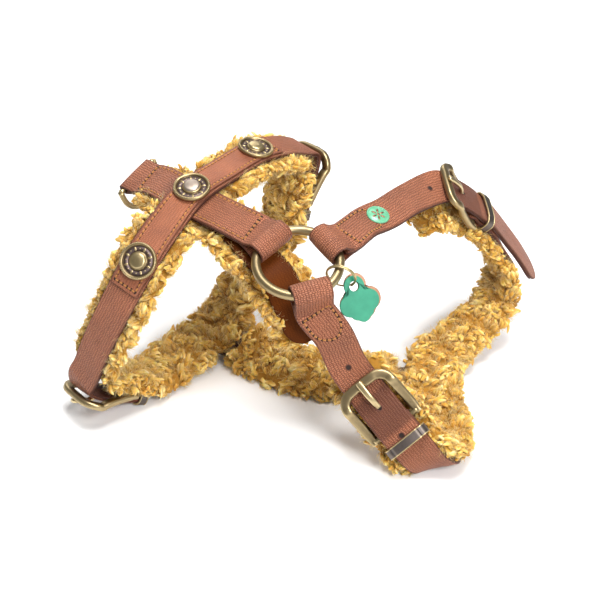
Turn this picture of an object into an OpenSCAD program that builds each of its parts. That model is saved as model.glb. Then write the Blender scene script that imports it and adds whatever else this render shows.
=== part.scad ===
// Small dog harness of stitched leather straps with a fleece lining.
// The neck loop and the girth loop meet at a ring over the withers, and a
// short strap under the chest joins them. +Z is up, and the harness stands
// on its lower straps as if it were worn.

/* [Straps] */
// Width of the neck straps
neck_w = 20; // [19:0.5:20]
// Width of the girth strap that goes over the back
girth_w = 19; // [18:0.5:20]
// Width of the strap between the D ring and the O ring
back_w = 22; // [20:0.5:22]
// Thickness of a strap of two leather layers
strap_t = 2.8; // [2.6:0.1:2.8]
// Rounding of a strap's edges
edge = 0.7; // [0.4:0.1:0.8]

/* [Lining] */
// Width of the fleece lining
lining_w = 30; // [28:0.5:30]
// Thickness of the fleece lining
lining_t = 7; // [5:0.5:7.5]

/* [Hardware] */
// Radius of the O ring, to the middle of its wire
ring_r = 20.8; // [20.6:0.1:21]
// Radius of the O ring's wire
ring_wire = 2.4; // [2.2:0.1:2.4]
// Length of a buckle, from its heel bar to its end bar
buckle_len = 26; // [25:0.5:27]
// Half width of a buckle, to the middle of its side bars
buckle_half = 13.6; // [13.4:0.1:14]
// Radius of a buckle's heel bar
heel_r = 1.5; // [1.4:0.05:1.5]
// Radius of a concho
concho_r = 9.6; // [9:0.1:9.8]

/* [Hidden] */

$fn = 48;

// Moves the harness so that its origin is the middle of its footprint
stand = [-5.99, 8.63, 0.38];
// Steps along a route between two of its points
steps = 5;
// Running clearance between a heel bar and its bore
run = 0.08;
// Half thickness of a strap
half_t = strap_t / 2;
// Radius of the leather folded around a heel bar
heel_fold = heel_r + run + 1.5;
// Radius of the eye that a ring fold leaves for the ring's wire
ring_eye = ring_wire + 1.8;
// Outer radius of a ring fold
ring_fold = ring_eye + 1.4;
// Height of the end bar above the heel bar
bar_rise = 7.8;
// Height of a strap's outer face where it lies over the heel fold
over_heel = 6.3;
// Depth from a strap's outer face to its lining
under_strap = strap_t + 0.35;
// Depth from the outer face to the lining where a keeper goes between
under_buckle = heel_fold + half_t + 0.7;
// Width and length of a prong slot
slot_w = 3.6;
slot_l = 6.6;
// Thickness of a lining inside a bend, as a part of the bend's radius
squeeze = 0.5;
// Thickness of the smooth strip sewn on the girth strap
overlay_t = 1.1;

// ---- Vectors, frames and routes ----

function unit(v) = v / norm(v);

// A frame is an origin, a direction along, one outward and one across.
function frame_of(o, along, out) =
    let (a = unit(along), n = unit(out - a * (out * a)))
    [o, a, n, cross(a, n)];

function spot(f, s, n, t = 0) = f[0] + f[1] * s + f[2] * n + f[3] * t;

// A route point is a place on the outer face, its normal and the depth of
// whatever hangs below it.
function on(f, s, n, depth = 0) = [spot(f, s, n), f[2], depth];
function pt(p, n, depth = 0) = [p, unit(n), depth];
function deeper(r, depth) = [for (e = r) [e[0], e[1], depth]];

function pick(r, i) = r[min(max(i, 0), len(r) - 1)];

function curve(a, b, c, d, t) =
    0.5 * (2 * b + (c - a) * t + (2 * a - 5 * b + 4 * c - d) * t * t
        + (3 * b - a - 3 * c + d) * t * t * t);

// Points on a smooth curve through a route's own points
function smooth(r) = [
    for (i = [0 : len(r) - 2], j = [0 : steps - 1])
        concat(
            [for (k = [0 : 1])
                curve(pick(r, i - 1)[k], r[i][k], r[i + 1][k], pick(r, i + 2)[k],
                    j / steps)],
            [r[i][2] + (r[i + 1][2] - r[i][2]) * j / steps]),
    r[len(r) - 1]
];

// The frames along a smooth route, each set below the face by its depth
function frames(q) = [
    for (i = [0 : len(q) - 1])
        let (f = frame_of(q[i][0], pick(q, i + 1)[0] - pick(q, i - 1)[0], q[i][1]))
        [spot(f, 0, -q[i][2]), f[1], f[2], f[3]]
];

function part_of(list, from, to) = [for (i = [from : to]) list[i]];

// ---- Sections and sweeps ----

// Flat section with rounded edges: half width, top, bottom, edge rounding
function flat(h, top, bottom, c) = [
    [-h, bottom + c], [-h + c, bottom], [h - c, bottom], [h, bottom + c],
    [h, top - c], [h - c, top], [-h + c, top], [-h, top - c]
];

// Section of a lining: flat under the leather, crowned on its soft side
function plush(h, t) = [
    [-h, -0.35 * t], [-0.86 * h, -0.78 * t], [-0.5 * h, -t], [0.5 * h, -t],
    [0.86 * h, -0.78 * t], [h, -0.35 * t], [0.9 * h, 0], [-0.9 * h, 0]
];

// Oval section of a bar: half width and half height
function oval(a, b) = [for (k = [0 : 9]) [a * cos(36 * k), b * sin(36 * k)]];

function ring_of(f, section) =
    [for (q = section) f[0] + f[3] * q[0] + f[2] * q[1]];

// One closed solid through a list of rings, each with as many points
module sweep(rings) {
    n = len(rings[0]);
    last = len(rings) - 1;
    polyhedron(
        points = [for (r = rings, p = r) p],
        faces = concat(
            [[for (j = [n - 1 : -1 : 0]) j]],
            [for (i = [0 : last - 1], j = [0 : n - 1], half = [0, 1])
                let (a = i * n + j, b = i * n + (j + 1) % n)
                half == 0 ? [a, b, b + n] : [a, b + n, a + n]],
            [[for (j = [0 : n - 1]) last * n + j]]
        ),
        convexity = 8
    );
}

function strap_rings(fs, w, t = strap_t) =
    [for (f = fs) ring_of(f, flat(w / 2, 0, -t, min(edge, t * 0.35)))];

// Rings of leather folded around a bar. side is 1 where the route ends at
// the fold and -1 where it starts there.
function fold_rings(f, w, r, side = 1) =
    let (
        back = r * 1.6,
        marks = [
            [-back, half_t + (r - half_t) * 0.35], [-back * 0.5, r * 0.86],
            [-back * 0.2, r * 0.98], [0, r], [r * 0.4, r * 0.92],
            [r * 0.7, r * 0.71], [r * 0.92, r * 0.39], [r, r * 0.12]
        ],
        all = [for (m = marks)
            ring_of([spot(f, m[0], 0), f[1], f[2], side * f[3]],
                flat(w / 2, m[1], -m[1], min(edge, m[1] * 0.7)))]
    )
    side > 0 ? all : [for (i = [len(all) - 1 : -1 : 0]) all[i]];

// Rings of a lining. Its ends are rounded off, and it is squeezed inside bends.
function lining_rings(fs) = [
    for (i = [0 : len(fs) - 1])
        let (
            end = min(i, len(fs) - 1 - i),
            k = end == 0 ? 0.72 : end == 1 ? 0.93 : 1,
            a = pick(fs, i - 2),
            b = pick(fs, i + 2),
            bend = norm(b[1] - a[1]) / norm(b[0] - a[0]) * lining_t
        )
        ring_of(fs[i], plush(lining_w / 2 * k, lining_t * min(k, squeeze / bend)))
];

// Puts children into a frame: x along, y outward, z across
module in_frame(f) {
    multmatrix([
        [f[1][0], f[2][0], f[3][0], f[0][0]],
        [f[1][1], f[2][1], f[3][1], f[0][1]],
        [f[1][2], f[2][2], f[3][2], f[0][2]],
        [0, 0, 0, 1]
    ])
        children();
}

// Puts children on a face: x along, z outward
module on_face(f, lift = 0) {
    in_frame(f)
        translate([0, lift, 0])
            rotate([-90, 0, 0])
                children();
}

module bar_hole(f, r, l) {
    in_frame(f)
        cylinder(r = r, h = l, center = true);
}

// Gap in a heel fold for the prong's eye
module prong_gap(f) {
    in_frame(f)
        translate([-heel_fold - 0.4, -heel_fold - 1, -slot_w / 2])
            cube([2 * heel_fold + 1.4, 2 * heel_fold + 2, slot_w]);
}

// Slot in a strap for the prong
module prong_slot(f) {
    in_frame(f)
        translate([2.6, 1, 0])
            rotate([-90, 0, 0]) {
                cylinder(d = slot_w, h = 9);
                translate([slot_l, 0, 0])
                    cylinder(d = slot_w, h = 9);
                translate([0, -slot_w / 2, 0])
                    cube([slot_l, slot_w, 9]);
            }
}

// Punched hole for adjusting a strap, at a distance from the heel bar
module punched(f, s) {
    in_frame(f)
        translate([s, -2, 0])
            rotate([-90, 0, 0])
                cylinder(r = 1.3, h = 14);
}

// ---- Frames of the hardware ----

chest_f = frame_of([47.5, -82, 24.7], [-0.63, 0.53, 0.6], [-0.18, -0.82, 0.54]);
neck_f = frame_of([93, 42, 81], [-0.72, -0.34, 0.6], [0.58, -0.22, 0.78]);
low_f = frame_of([-96.5, -28.5, 11], [-0.67, -0.57, 0.475], [-0.36, -0.31, -0.88]);
high_f = frame_of([-3.5, 57.5, 81.5], [0.2, 0.17, 0.96], [0.72, 0.64, -0.24]);

// The O ring: its middle, its normal and a direction in its plane
ring_c = [-1, -41, 94.5];
ring_n = unit([0, -0.36, 0.93]);
ring_x = [1, 0, 0];
ring_y = cross(ring_n, ring_x);

function ring_at(angle, r) =
    ring_c + r * (cos(angle) * ring_x + sin(angle) * ring_y);

// Frame of a fold on the O ring. It runs across the wire, and its eye sits
// inside the wire's middle, because the wire bows inward across the strap.
function ring_frame(angle, out) =
    let (
        across = cos(angle) * ring_y - sin(angle) * ring_x,
        n = unit(out - across * (out * across))
    )
    [ring_at(angle, ring_r - 1.5), cross(n, across), n, across];

back_f = ring_frame(137, ring_n);
left_f = ring_frame(36, [0.14, -0.26, 0.96]);
right_f = ring_frame(-71, [0.1, -0.95, 0.2]);

// The D ring's straight bar
d_bar_f = frame_of([-87, 27.5, 107.5], [-0.72, 0.68, -0.12], [-0.1, -0.45, 1]);

// ---- Routes of the straps ----

girth_route = [
    on(high_f, -13, 5), on(high_f, -9, 5), on(high_f, 0, over_heel),
    on(high_f, 12, over_heel), on(high_f, 26, 5),
    pt([-3, 58, 112], [0.3, 0, 1]), pt([-12, 49, 116], [0.1, -0.2, 1]),
    pt([-24, 36, 118.5], [0, -0.32, 1]), pt([-39, 16, 118], [-0.1, -0.4, 1]),
    pt([-55, -4, 115.5], [-0.13, -0.45, 0.9]), pt([-68, -21, 105.5], [-0.15, -0.7, 0.75]),
    pt([-80, -36, 92], [-0.2, -0.8, 0.58]), pt([-92, -43, 72], [-0.4, -0.8, 0.4]),
    pt([-104, -46, 49], [-0.55, -0.75, 0.25]), pt([-111, -46.5, 33], [-0.65, -0.7, 0.1]),
    pt([-115, -45.8, 25], [-0.72, -0.66, -0.1]),
    pt([-113.6, -43.4, 17.6], [-0.6, -0.6, -0.6]), on(low_f, 12, over_heel), on(low_f, 0, over_heel),
    on(low_f, -9, 5), on(low_f, -13, 5)
];
girth_fs = frames(smooth(girth_route));
// Places on the girth strap, in route points
concho_rear_i = 7 * steps;
concho_centre_i = 9 * steps;
concho_front_i = 11 * steps;

back_route = [
    on(d_bar_f, -8, half_t), pt([-73, 14, 112], [0, -0.4, 1]),
    pt([-56, -3, 110.8], [0, -0.38, 1]), pt([-38, -15.5, 108], [0.05, -0.32, 1]),
    on(back_f, -ring_fold * 1.9, half_t)
];

backing_route = [
    pt([-46, -9.5, 106], [0, -0.35, 0.95]), pt([-34, -17, 101.5], [0, -0.35, 0.95]),
    pt([-22, -28, 93], [0.1, -0.45, 0.87]), pt([-12, -38, 86.5], [0, -0.6, 0.8]),
    pt([-6, -51, 80], [-0.15, -0.8, 0.58]), pt([-1, -57, 70], [-0.2, -0.9, 0.3]),
    pt([2, -60, 59], [-0.2, -0.9, 0.3])
];

left_route = [
    on(left_f, -ring_fold * 1.9, half_t),
    pt([33, -10, 100.5], [-0.15, -0.5, 0.87]), pt([45, 1, 100.5], [-0.1, -0.5, 0.85]),
    pt([59, 15, 102], [0.05, -0.42, 0.9]),
    on(neck_f, 26, 5), on(neck_f, 12, 6.5), on(neck_f, 0, over_heel),
    on(neck_f, -8, 5), on(neck_f, -14, 5),
    pt([117.5, 52.5, 60], [0.83, -0.1, 0.5]), pt([128, 54.5, 45], [0.88, -0.1, 0.45]),
    pt([137, 54.5, 30], [0.88, -0.1, 0.45])
];
left_fs = frames(smooth(left_route));
badge_i = 1 * steps + 3;

right_route = [
    on(right_f, -ring_fold * 1.9, half_t), pt([16.5, -64.5, 66], [-0.15, -0.9, 0.4]),
    pt([23.5, -68.5, 51.5], [-0.17, -0.87, 0.46]), on(chest_f, 24, 5.2), on(chest_f, 12, over_heel),
    on(chest_f, 0, over_heel), on(chest_f, -9, 5), on(chest_f, -12, 5)
];

// The lower neck strap between its two heel bars, on the outer face
lower_neck_middle = [
    pt([64, -93.5, 9], [0.1, -0.9, -0.3]), pt([71, -86, 3], [0.3, -0.2, -0.95]),
    pt([73, -70, 1.5], [0.15, 0, -1]), pt([73, -46, 2], [0.1, 0, -1]),
    pt([71, -22, 5], [0, 0.1, -1]), pt([76, -2, 5.6], [0.1, 0.2, -1]),
    pt([92, 19, 6.5], [0.3, 0.25, -0.9]), pt([110, 36, 13], [0.6, 0.4, -0.7]),
    pt([120, 46, 26], [0.85, 0.45, -0.3]), pt([120, 50, 42], [0.93, 0.3, 0.2]),
    pt([113, 50, 57], [0.87, 0.1, 0.45]), pt([108.6, 48.8, 66.5], [0.78, -0.04, 0.55])
];
lower_neck_route = concat(
    [on(chest_f, -6, half_t), on(chest_f, -15, half_t)],
    lower_neck_middle,
    [on(neck_f, -12.5, half_t), on(neck_f, -6, half_t)]
);

lower_girth_middle = [
    pt([-81.5, -14.5, 2.3], [-0.12, 0.1, -1]), pt([-73, -4, 3.5], [0, 0.3, -0.95]),
    pt([-55, 18, 6.5], [0.2, 0.45, -0.87]), pt([-41, 33, 13.5], [0.5, 0.6, -0.62]),
    pt([-31, 42, 29], [0.65, 0.72, -0.3]),
    pt([-19, 49, 48], [0.7, 0.7, -0.22]), pt([-9.3, 54, 59.3], [0.7, 0.7, -0.3])
];
lower_girth_route = concat(
    [on(low_f, -6, half_t), on(low_f, -12.5, half_t)],
    lower_girth_middle,
    [on(high_f, -12.5, half_t), on(high_f, -6, half_t)]
);

sternum_middle = [
    pt([-20, 6, 3.8], [0.2, 0.35, -0.9]), pt([-2, -7, 3.4], [0.1, 0.36, -0.93]),
    pt([22, -14, 3.4], [0, 0.3, -0.95]), pt([44, -14, 2.6], [0, 0.16, -0.98])
];
sternum_route = concat(
    [pt([-43, 26, 3.6], [0.2, 0.25, -0.93]), pt([-33, 18, 3.8], [0.25, 0.3, -0.9])],
    sternum_middle,
    [pt([58, -11, 0.9], [0, 0.03, -1]), pt([74, -6, 0.7], [0, 0, -1]),
        pt([89, -1, 0.7], [0, 0, -1])]
);

// ---- Leather ----

// Eye that a ring fold leaves for the ring's wire, a little longer than round
module fold_eye(f, w) {
    for (shift = [-0.35, 0, 0.35])
        in_frame(f)
            translate([shift, 0, 0])
                cylinder(r = ring_eye, h = w + 4, center = true);
}

module girth_strap() {
    color("sienna")
        difference() {
            sweep(strap_rings(girth_fs, girth_w));
            prong_slot(low_f);
            prong_slot(high_f);
        }
}

module girth_overlay() {
    color("peru")
        sweep([for (f = part_of(girth_fs, 6 * steps + 1, 12 * steps - 2))
            ring_of(f, flat(girth_w / 2 - 1.2, overlay_t, 0.16, 0.3))]);
}

module back_strap() {
    color("sienna")
        difference() {
            sweep(concat(
                fold_rings(d_bar_f, back_w, heel_fold, -1),
                strap_rings(frames(smooth(back_route)), back_w),
                fold_rings(back_f, back_w, ring_fold)
            ));
            bar_hole(d_bar_f, heel_r + run, back_w + 4);
            fold_eye(back_f, back_w);
        }
}

module ring_backing() {
    color("saddlebrown")
        sweep(strap_rings(frames(smooth(backing_route)), neck_w - 2, 1.6));
}

module neck_strap_left() {
    color("sienna")
        difference() {
            sweep(concat(
                fold_rings(left_f, neck_w, ring_fold, -1),
                strap_rings(left_fs, neck_w)
            ));
            fold_eye(left_f, neck_w);
            prong_slot(neck_f);
            punched(neck_f, 37);
        }
}

module neck_strap_right() {
    color("sienna")
        difference() {
            sweep(concat(
                fold_rings(right_f, neck_w, ring_fold, -1),
                strap_rings(frames(smooth(right_route)), neck_w)
            ));
            fold_eye(right_f, neck_w);
            prong_slot(chest_f);
            punched(chest_f, 37);
            punched(chest_f, -5);
        }
}

// A lower strap with a fold and a prong gap at each of its two heel bars
module buckle_strap(route, w, from, to) {
    difference() {
        sweep(concat(
            fold_rings(from, w, heel_fold, -1),
            strap_rings(frames(smooth(route)), w),
            fold_rings(to, w, heel_fold)
        ));
        for (f = [from, to]) {
            bar_hole(f, heel_r + run, w + 4);
            prong_gap(f);
        }
    }
}

module lower_neck_strap() {
    color("sienna")
        buckle_strap(lower_neck_route, neck_w, chest_f, neck_f);
}

module lower_girth_strap() {
    color("sienna")
        buckle_strap(lower_girth_route, girth_w, low_f, high_f);
}

module sternum_strap() {
    color("saddlebrown")
        sweep(strap_rings(frames(smooth(sternum_route)), neck_w));
}

// ---- Fleece ----

module lining(fs) {
    color("goldenrod")
        sweep(lining_rings(fs));
}

module girth_lining_rear() {
    lining(frames(smooth(deeper([
        pt([1, 61.5, 109], [0.5, 0.2, 0.7]), girth_route[6], girth_route[7],
        pt([-36, 20, 118.2], [-0.1, -0.38, 1]), pt([-44, 10, 117.6], [-0.1, -0.4, 1])
    ], under_strap + 0.4))));
}

module girth_lining_front() {
    lining(frames(smooth(deeper([
        pt([-65.5, -18, 107.7], [-0.15, -0.66, 0.8]), girth_route[11], girth_route[12],
        girth_route[13], pt([-110, -46, 34], [-0.6, -0.68, 0])
    ], under_strap + 0.4))));
}

module back_lining() {
    lining(frames(smooth(concat(
        deeper([on(d_bar_f, -10, half_t), back_route[1], back_route[2]],
            under_strap + 0.2),
        deeper(backing_route, 2.5)
    ))));
}

module lower_neck_lining() {
    lining(frames(smooth(concat(
        deeper([on(chest_f, 34, 1.8), on(chest_f, 20, half_t), on(chest_f, 6, half_t),
            on(chest_f, -6, half_t), on(chest_f, -15, half_t)], under_buckle),
        deeper(lower_neck_middle, under_strap + 0.5),
        deeper([on(neck_f, -12.5, half_t), on(neck_f, -6, half_t), on(neck_f, 6, 0.8)],
            under_buckle),
        deeper([pt([74, 31, 93], [0.2, -0.3, 0.95])], 4),
        deeper([pt([61, 22.5, 89.5], [-0.1, -0.4, 0.9])], 7)
    ))));
}

module lower_girth_lining() {
    lining(frames(smooth(concat(
        deeper([on(low_f, 19, 0.5), on(low_f, 6, half_t), on(low_f, -6, half_t),
            on(low_f, -12.5, half_t)], under_buckle),
        deeper(lower_girth_middle, under_strap),
        deeper([on(high_f, -12.5, half_t), on(high_f, -6, half_t), on(high_f, 6, half_t),
            on(high_f, 16, half_t)], under_buckle)
    ))));
}

module sternum_lining() {
    lining(frames(smooth(deeper(concat(
        [pt([-31, 15.5, 4], [0.25, 0.3, -0.9])],
        sternum_middle,
        [pt([53, -12.5, 1.8], [0, 0.1, -1])]
    ), under_strap))));
}

// ---- Ornaments ----

// A cupped brass disc with a raised rim and a ring of small bumps
module concho_plate(i) {
    color("darkgoldenrod")
        on_face(girth_fs[i], overlay_t + 0.9) {
            rotate_extrude()
                polygon([
                    [0, 0], [concho_r - 0.6, 0], [concho_r, 0.6], [concho_r - 0.2, 1.5],
                    [concho_r - 0.9, 1.9], [concho_r - 1.6, 1.6], [concho_r - 1.9, 0.8],
                    [4.4, 0.8], [4.2, 1.4], [0, 1.4]
                ]);
            for (a = [0 : 45 : 315])
                rotate([0, 0, a])
                    translate([6.1, 0, 0.6])
                        cylinder(r = 0.9, h = 0.6, $fn = 16);
        }
}

// The domed rivet head in the middle of a concho
module concho_stud(i) {
    color("gold")
        on_face(girth_fs[i], overlay_t + 2.35)
            rotate_extrude()
                polygon([[0, 0], [3.7, 0], [3.9, 0.5], [3.5, 1.1], [2.2, 1.6], [0, 1.8]]);
}

module concho_plate_rear() concho_plate(concho_rear_i);
module concho_plate_centre() concho_plate(concho_centre_i);
module concho_plate_front() concho_plate(concho_front_i);
module concho_stud_rear() concho_stud(concho_rear_i);
module concho_stud_centre() concho_stud(concho_centre_i);
module concho_stud_front() concho_stud(concho_front_i);

// Round enamel badge on the left neck strap
module badge() {
    color("mediumaquamarine")
        on_face(left_fs[badge_i], 0.5)
            rotate_extrude()
                polygon([[0, 0], [5.8, 0], [6.2, 0.5], [6, 1.1], [5.3, 1.3], [5, 0.9], [0, 0.9]]);
}

// ---- Rings and tag ----

module o_ring() {
    color("tan")
        in_frame([ring_c, ring_x, ring_y, ring_n])
            rotate_extrude($fn = 96)
                translate([ring_r, 0])
                    circle(r = ring_wire, $fn = 32);
}

// The D ring hangs from its bar: half its width, and how far it drops
d_half = back_w / 2 + 2.1;
d_drop = 5;
d_hang = frame_of(d_bar_f[0], cross(d_bar_f[3], unit(cross(d_bar_f[3], [0, 0, 1]))),
    cross(d_bar_f[3], [0, 0, 1]));

module d_ring() {
    bow = [
        [-1, 1], for (k = [1 : 2]) [d_drop * k / 3, 1],
        for (a = [0 : 15 : 180]) [d_drop + d_half * sin(a), cos(a)],
        for (k = [2 : -1 : 1]) [d_drop * k / 3, -1], [-1, -1]
    ];
    down = unit(-d_hang[1] * sign(d_hang[1][2]));
    spots = [for (b = bow) d_bar_f[0] + down * b[0] + d_bar_f[3] * (d_half * b[1])];
    bow_fs = [for (i = [0 : len(spots) - 1])
        frame_of(spots[i], pick(spots, i + 1) - pick(spots, i - 1),
            cross(down, d_bar_f[3]))];
    color("tan") {
        bar_hole(d_bar_f, heel_r, 2 * d_half);
        sweep([for (f = bow_fs) ring_of(f, oval(1.6, 1.6))]);
    }
}

// The split ring goes around the O ring's wire and hangs to one side
split_r = 7.4;
split_wire = 0.9;
split_gap = 0.25;
split_at = -15;
split_in = ring_at(split_at, ring_r);
split_axis = unit(cos(split_at) * ring_y - sin(split_at) * ring_x);
split_hang = [0.3, 0.25, -0.92];
split_f = frame_of(split_in, split_hang - split_axis * (split_hang * split_axis), split_axis);
split_c = spot(split_f, split_r - split_wire - ring_wire - split_gap, 0);

module split_ring() {
    color("tan")
        in_frame([split_c, split_f[1], split_f[3], cross(split_f[1], split_f[3])])
            rotate_extrude()
                translate([split_r, 0])
                    circle(r = split_wire, $fn = 24);
}

// Where the tag hangs on the split ring, and the way its wire runs there
tag_turn = 37;
tag_side = split_f[3] * sign(split_f[3][0]);
tag_in = split_c + split_r * (cos(tag_turn) * split_f[1] + sin(tag_turn) * tag_side);
tag_f = frame_of(tag_in, [0.32, -0.4, -0.85], [0.25, -0.75, 0.6]);
// How far the tag's hole hangs below the split ring's wire
tag_drop = 1.3;
// Radius of the hole, of the tag's lobes and of its tip
tag_hole = 3;
tag_lobe = 5.6;
tag_tip = 3.6;
// Thickness of each of the tag's layers, and how far the plate stands out
tag_t = 1.1;
tag_rim = 0.5;

// Three round lobes and a tip, with the hole in the upper lobe
module trefoil(grow) {
    difference() {
        union() {
            circle(r = tag_lobe + grow);
            for (side = [-1, 1])
                translate([9.5, 5.2 * side])
                    circle(r = tag_lobe + grow);
            translate([4, -4])
                square([9, 8]);
            translate([15.5, 0])
                circle(r = tag_tip + grow);
        }
        circle(r = tag_hole);
    }
}

module tag_layer(from, grow) {
    on_face([spot(tag_f, tag_drop, 0), tag_f[1], tag_f[2], tag_f[3]], from)
        linear_extrude(tag_t)
            trefoil(grow);
}

module tag_plate() {
    color("peru")
        tag_layer(-tag_t, tag_rim);
}

module tag_enamel() {
    color("turquoise")
        tag_layer(0.02, 0);
}

// ---- Buckles ----

// Side view of a buckle: distance from the heel bar and height above it
buckle_side = [[-1.6, -0.3], [3, 0.2], [9, 2.2], [16, 5.2], [22, 7.3]];
// Half width and half height of a buckle's bars, and its rounded corners
buckle_bar = [2.2, 1.6];
buckle_corner = 4;

module buckle(f) {
    run_up = [for (q = buckle_side) [q[0], q[1], buckle_half]];
    bend = [for (a = [0 : 30 : 90])
        [buckle_len - buckle_corner * (1 - sin(a)), bar_rise,
            buckle_half - buckle_corner * (1 - cos(a))]];
    side = concat(run_up, part_of(bend, 1, 3));
    path = concat(side,
        [for (i = [len(side) - 1 : -1 : 0]) [side[i][0], side[i][1], -side[i][2]]]);
    spots = [for (q = path) spot(f, q[0], q[1], q[2])];
    color("darkgoldenrod") {
        bar_hole(f, heel_r, 2 * buckle_half);
        sweep([for (i = [0 : len(spots) - 1])
            ring_of(frame_of(spots[i], pick(spots, i + 1) - pick(spots, i - 1), f[2]),
                oval(buckle_bar[0], buckle_bar[1]))]);
    }
}

// Middle line of a prong, from its eye to its tip on the end bar
prong_line = [[1.2, 1.5], [3.6, 3.4], [6.6, 6.2], [9.5, 8], [14, 9.3], [20, 10.2],
    [25, 10.9], [27.6, 10.9]];
// Half width and half height of a prong, and the part of them left at its tip
prong_w = 1.3;
prong_h = 1.05;
prong_tip = 0.55;

module prong(f) {
    spots = [for (q = prong_line) spot(f, q[0], q[1])];
    color("tan")
        difference() {
            union() {
                bar_hole(f, heel_r + run + prong_h, 2 * prong_w + 0.4);
                sweep([for (i = [0 : len(spots) - 1])
                    let (k = i == len(spots) - 1 ? prong_tip : 1)
                    ring_of(frame_of(spots[i], pick(spots, i + 1) - pick(spots, i - 1), f[2]),
                        oval(prong_w * k, prong_h * k))]);
            }
            bar_hole(f, heel_r + run, 6);
        }
}

// A keeper's distance behind the heel bar, and its length along the strap
keeper_s = 9.6;
keeper_l = 4.6;
// Height of its inner face over the strap, its thickness and its play
keeper_high = 5.6;
keeper_wall = 0.9;
keeper_play = 0.35;

// A flat band bent into a closed loop around a strap and its end
module keeper(f, w) {
    inner_h = w / 2 + keeper_play;
    low = -half_t - 0.25;
    outer_low = low - keeper_wall;
    color("dimgray")
        in_frame(f)
            translate([-keeper_s, 0, 0])
                rotate([0, -90, 0])
                    translate([0, 0, -keeper_l / 2])
                        linear_extrude(keeper_l)
                            difference() {
                                polygon(loop(inner_h + keeper_wall, outer_low,
                                    keeper_high + keeper_wall, 1.5));
                                polygon(loop(inner_h, low, keeper_high, 0.6));
                            }
}

function loop(h, low, high, c) = [
    [-h, low + c], [-h + c, low], [h - c, low], [h, low + c],
    [h, high - c], [h - c, high], [-h + c, high], [-h, high - c]
];

module buckle_chest() buckle(chest_f);
module buckle_neck() buckle(neck_f);
module buckle_girth_low() buckle(low_f);
module buckle_girth_high() buckle(high_f);
module prong_chest() prong(chest_f);
module prong_neck() prong(neck_f);
module prong_girth_low() prong(low_f);
module prong_girth_high() prong(high_f);
module keeper_chest() keeper(chest_f, neck_w);
module keeper_neck() keeper(neck_f, neck_w);
module keeper_girth_low() keeper(low_f, girth_w);
module keeper_girth_high() keeper(high_f, girth_w);

translate(stand) girth_strap();
translate(stand) girth_overlay();
translate(stand) back_strap();
translate(stand) ring_backing();
translate(stand) neck_strap_left();
translate(stand) neck_strap_right();
translate(stand) lower_neck_strap();
translate(stand) lower_girth_strap();
translate(stand) sternum_strap();
translate(stand) girth_lining_rear();
translate(stand) girth_lining_front();
translate(stand) back_lining();
translate(stand) lower_neck_lining();
translate(stand) lower_girth_lining();
translate(stand) sternum_lining();
translate(stand) concho_plate_rear();
translate(stand) concho_plate_centre();
translate(stand) concho_plate_front();
translate(stand) concho_stud_rear();
translate(stand) concho_stud_centre();
translate(stand) concho_stud_front();
translate(stand) badge();
translate(stand) o_ring();
translate(stand) d_ring();
translate(stand) split_ring();
translate(stand) tag_plate();
translate(stand) tag_enamel();
translate(stand) buckle_chest();
translate(stand) buckle_neck();
translate(stand) buckle_girth_low();
translate(stand) buckle_girth_high();
translate(stand) prong_chest();
translate(stand) prong_neck();
translate(stand) prong_girth_low();
translate(stand) prong_girth_high();
translate(stand) keeper_chest();
translate(stand) keeper_neck();
translate(stand) keeper_girth_low();
translate(stand) keeper_girth_high();
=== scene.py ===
"""A small dog harness of stitched leather straps with a fleece lining.

The straps follow the routes of the CAD model. Lengths here are in millimetres in the
harness's own frame, and mesh_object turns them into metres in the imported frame.
"""
import bmesh
import bpy
import math
import numpy as np
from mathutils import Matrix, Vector


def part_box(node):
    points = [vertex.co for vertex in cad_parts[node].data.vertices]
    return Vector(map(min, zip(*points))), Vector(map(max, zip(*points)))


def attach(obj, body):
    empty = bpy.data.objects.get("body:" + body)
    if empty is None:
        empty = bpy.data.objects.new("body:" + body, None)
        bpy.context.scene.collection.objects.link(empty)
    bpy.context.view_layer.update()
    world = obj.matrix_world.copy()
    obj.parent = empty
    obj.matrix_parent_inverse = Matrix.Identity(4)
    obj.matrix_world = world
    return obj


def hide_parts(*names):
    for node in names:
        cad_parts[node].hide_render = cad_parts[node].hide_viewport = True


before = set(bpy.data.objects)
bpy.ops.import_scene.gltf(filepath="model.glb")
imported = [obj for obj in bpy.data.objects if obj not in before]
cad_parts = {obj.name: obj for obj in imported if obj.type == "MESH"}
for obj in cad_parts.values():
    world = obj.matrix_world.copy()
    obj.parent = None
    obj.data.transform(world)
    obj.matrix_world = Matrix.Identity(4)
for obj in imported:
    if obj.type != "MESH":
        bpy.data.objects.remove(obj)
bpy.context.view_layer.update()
SEED = 11
rng = np.random.default_rng(SEED)
TAU = 2 * math.pi

# ---- Vectors and frames ----


def unit(v):
    v = np.asarray(v, float)
    return v / np.linalg.norm(v)


class Frame:
    """An origin o, a direction along s, one outward n and one across t."""

    def __init__(self, origin, along, out):
        self.o = np.asarray(origin, float)
        self.s = unit(along)
        out = np.asarray(out, float)
        self.n = unit(out - self.s * (out @ self.s))
        self.t = np.cross(self.s, self.n)

    def spot(self, s, n, t=0.0):
        return self.o + self.s * s + self.n * n + self.t * t

    def on(self, s, n):
        """A route point: a place and its normal."""
        return (self.spot(s, n), self.n)

    def place(self, points):
        """Local x along, y across and z outward, as points in the harness's frame."""
        points = np.asarray(points, float)
        return (self.o + points[:, :1] * self.s - points[:, 1:2] * self.t
                + points[:, 2:3] * self.n)


def pt(place, normal):
    return (np.asarray(place, float), unit(normal))


# ---- Sizes and frames of the hardware, as in the CAD model ----

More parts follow.
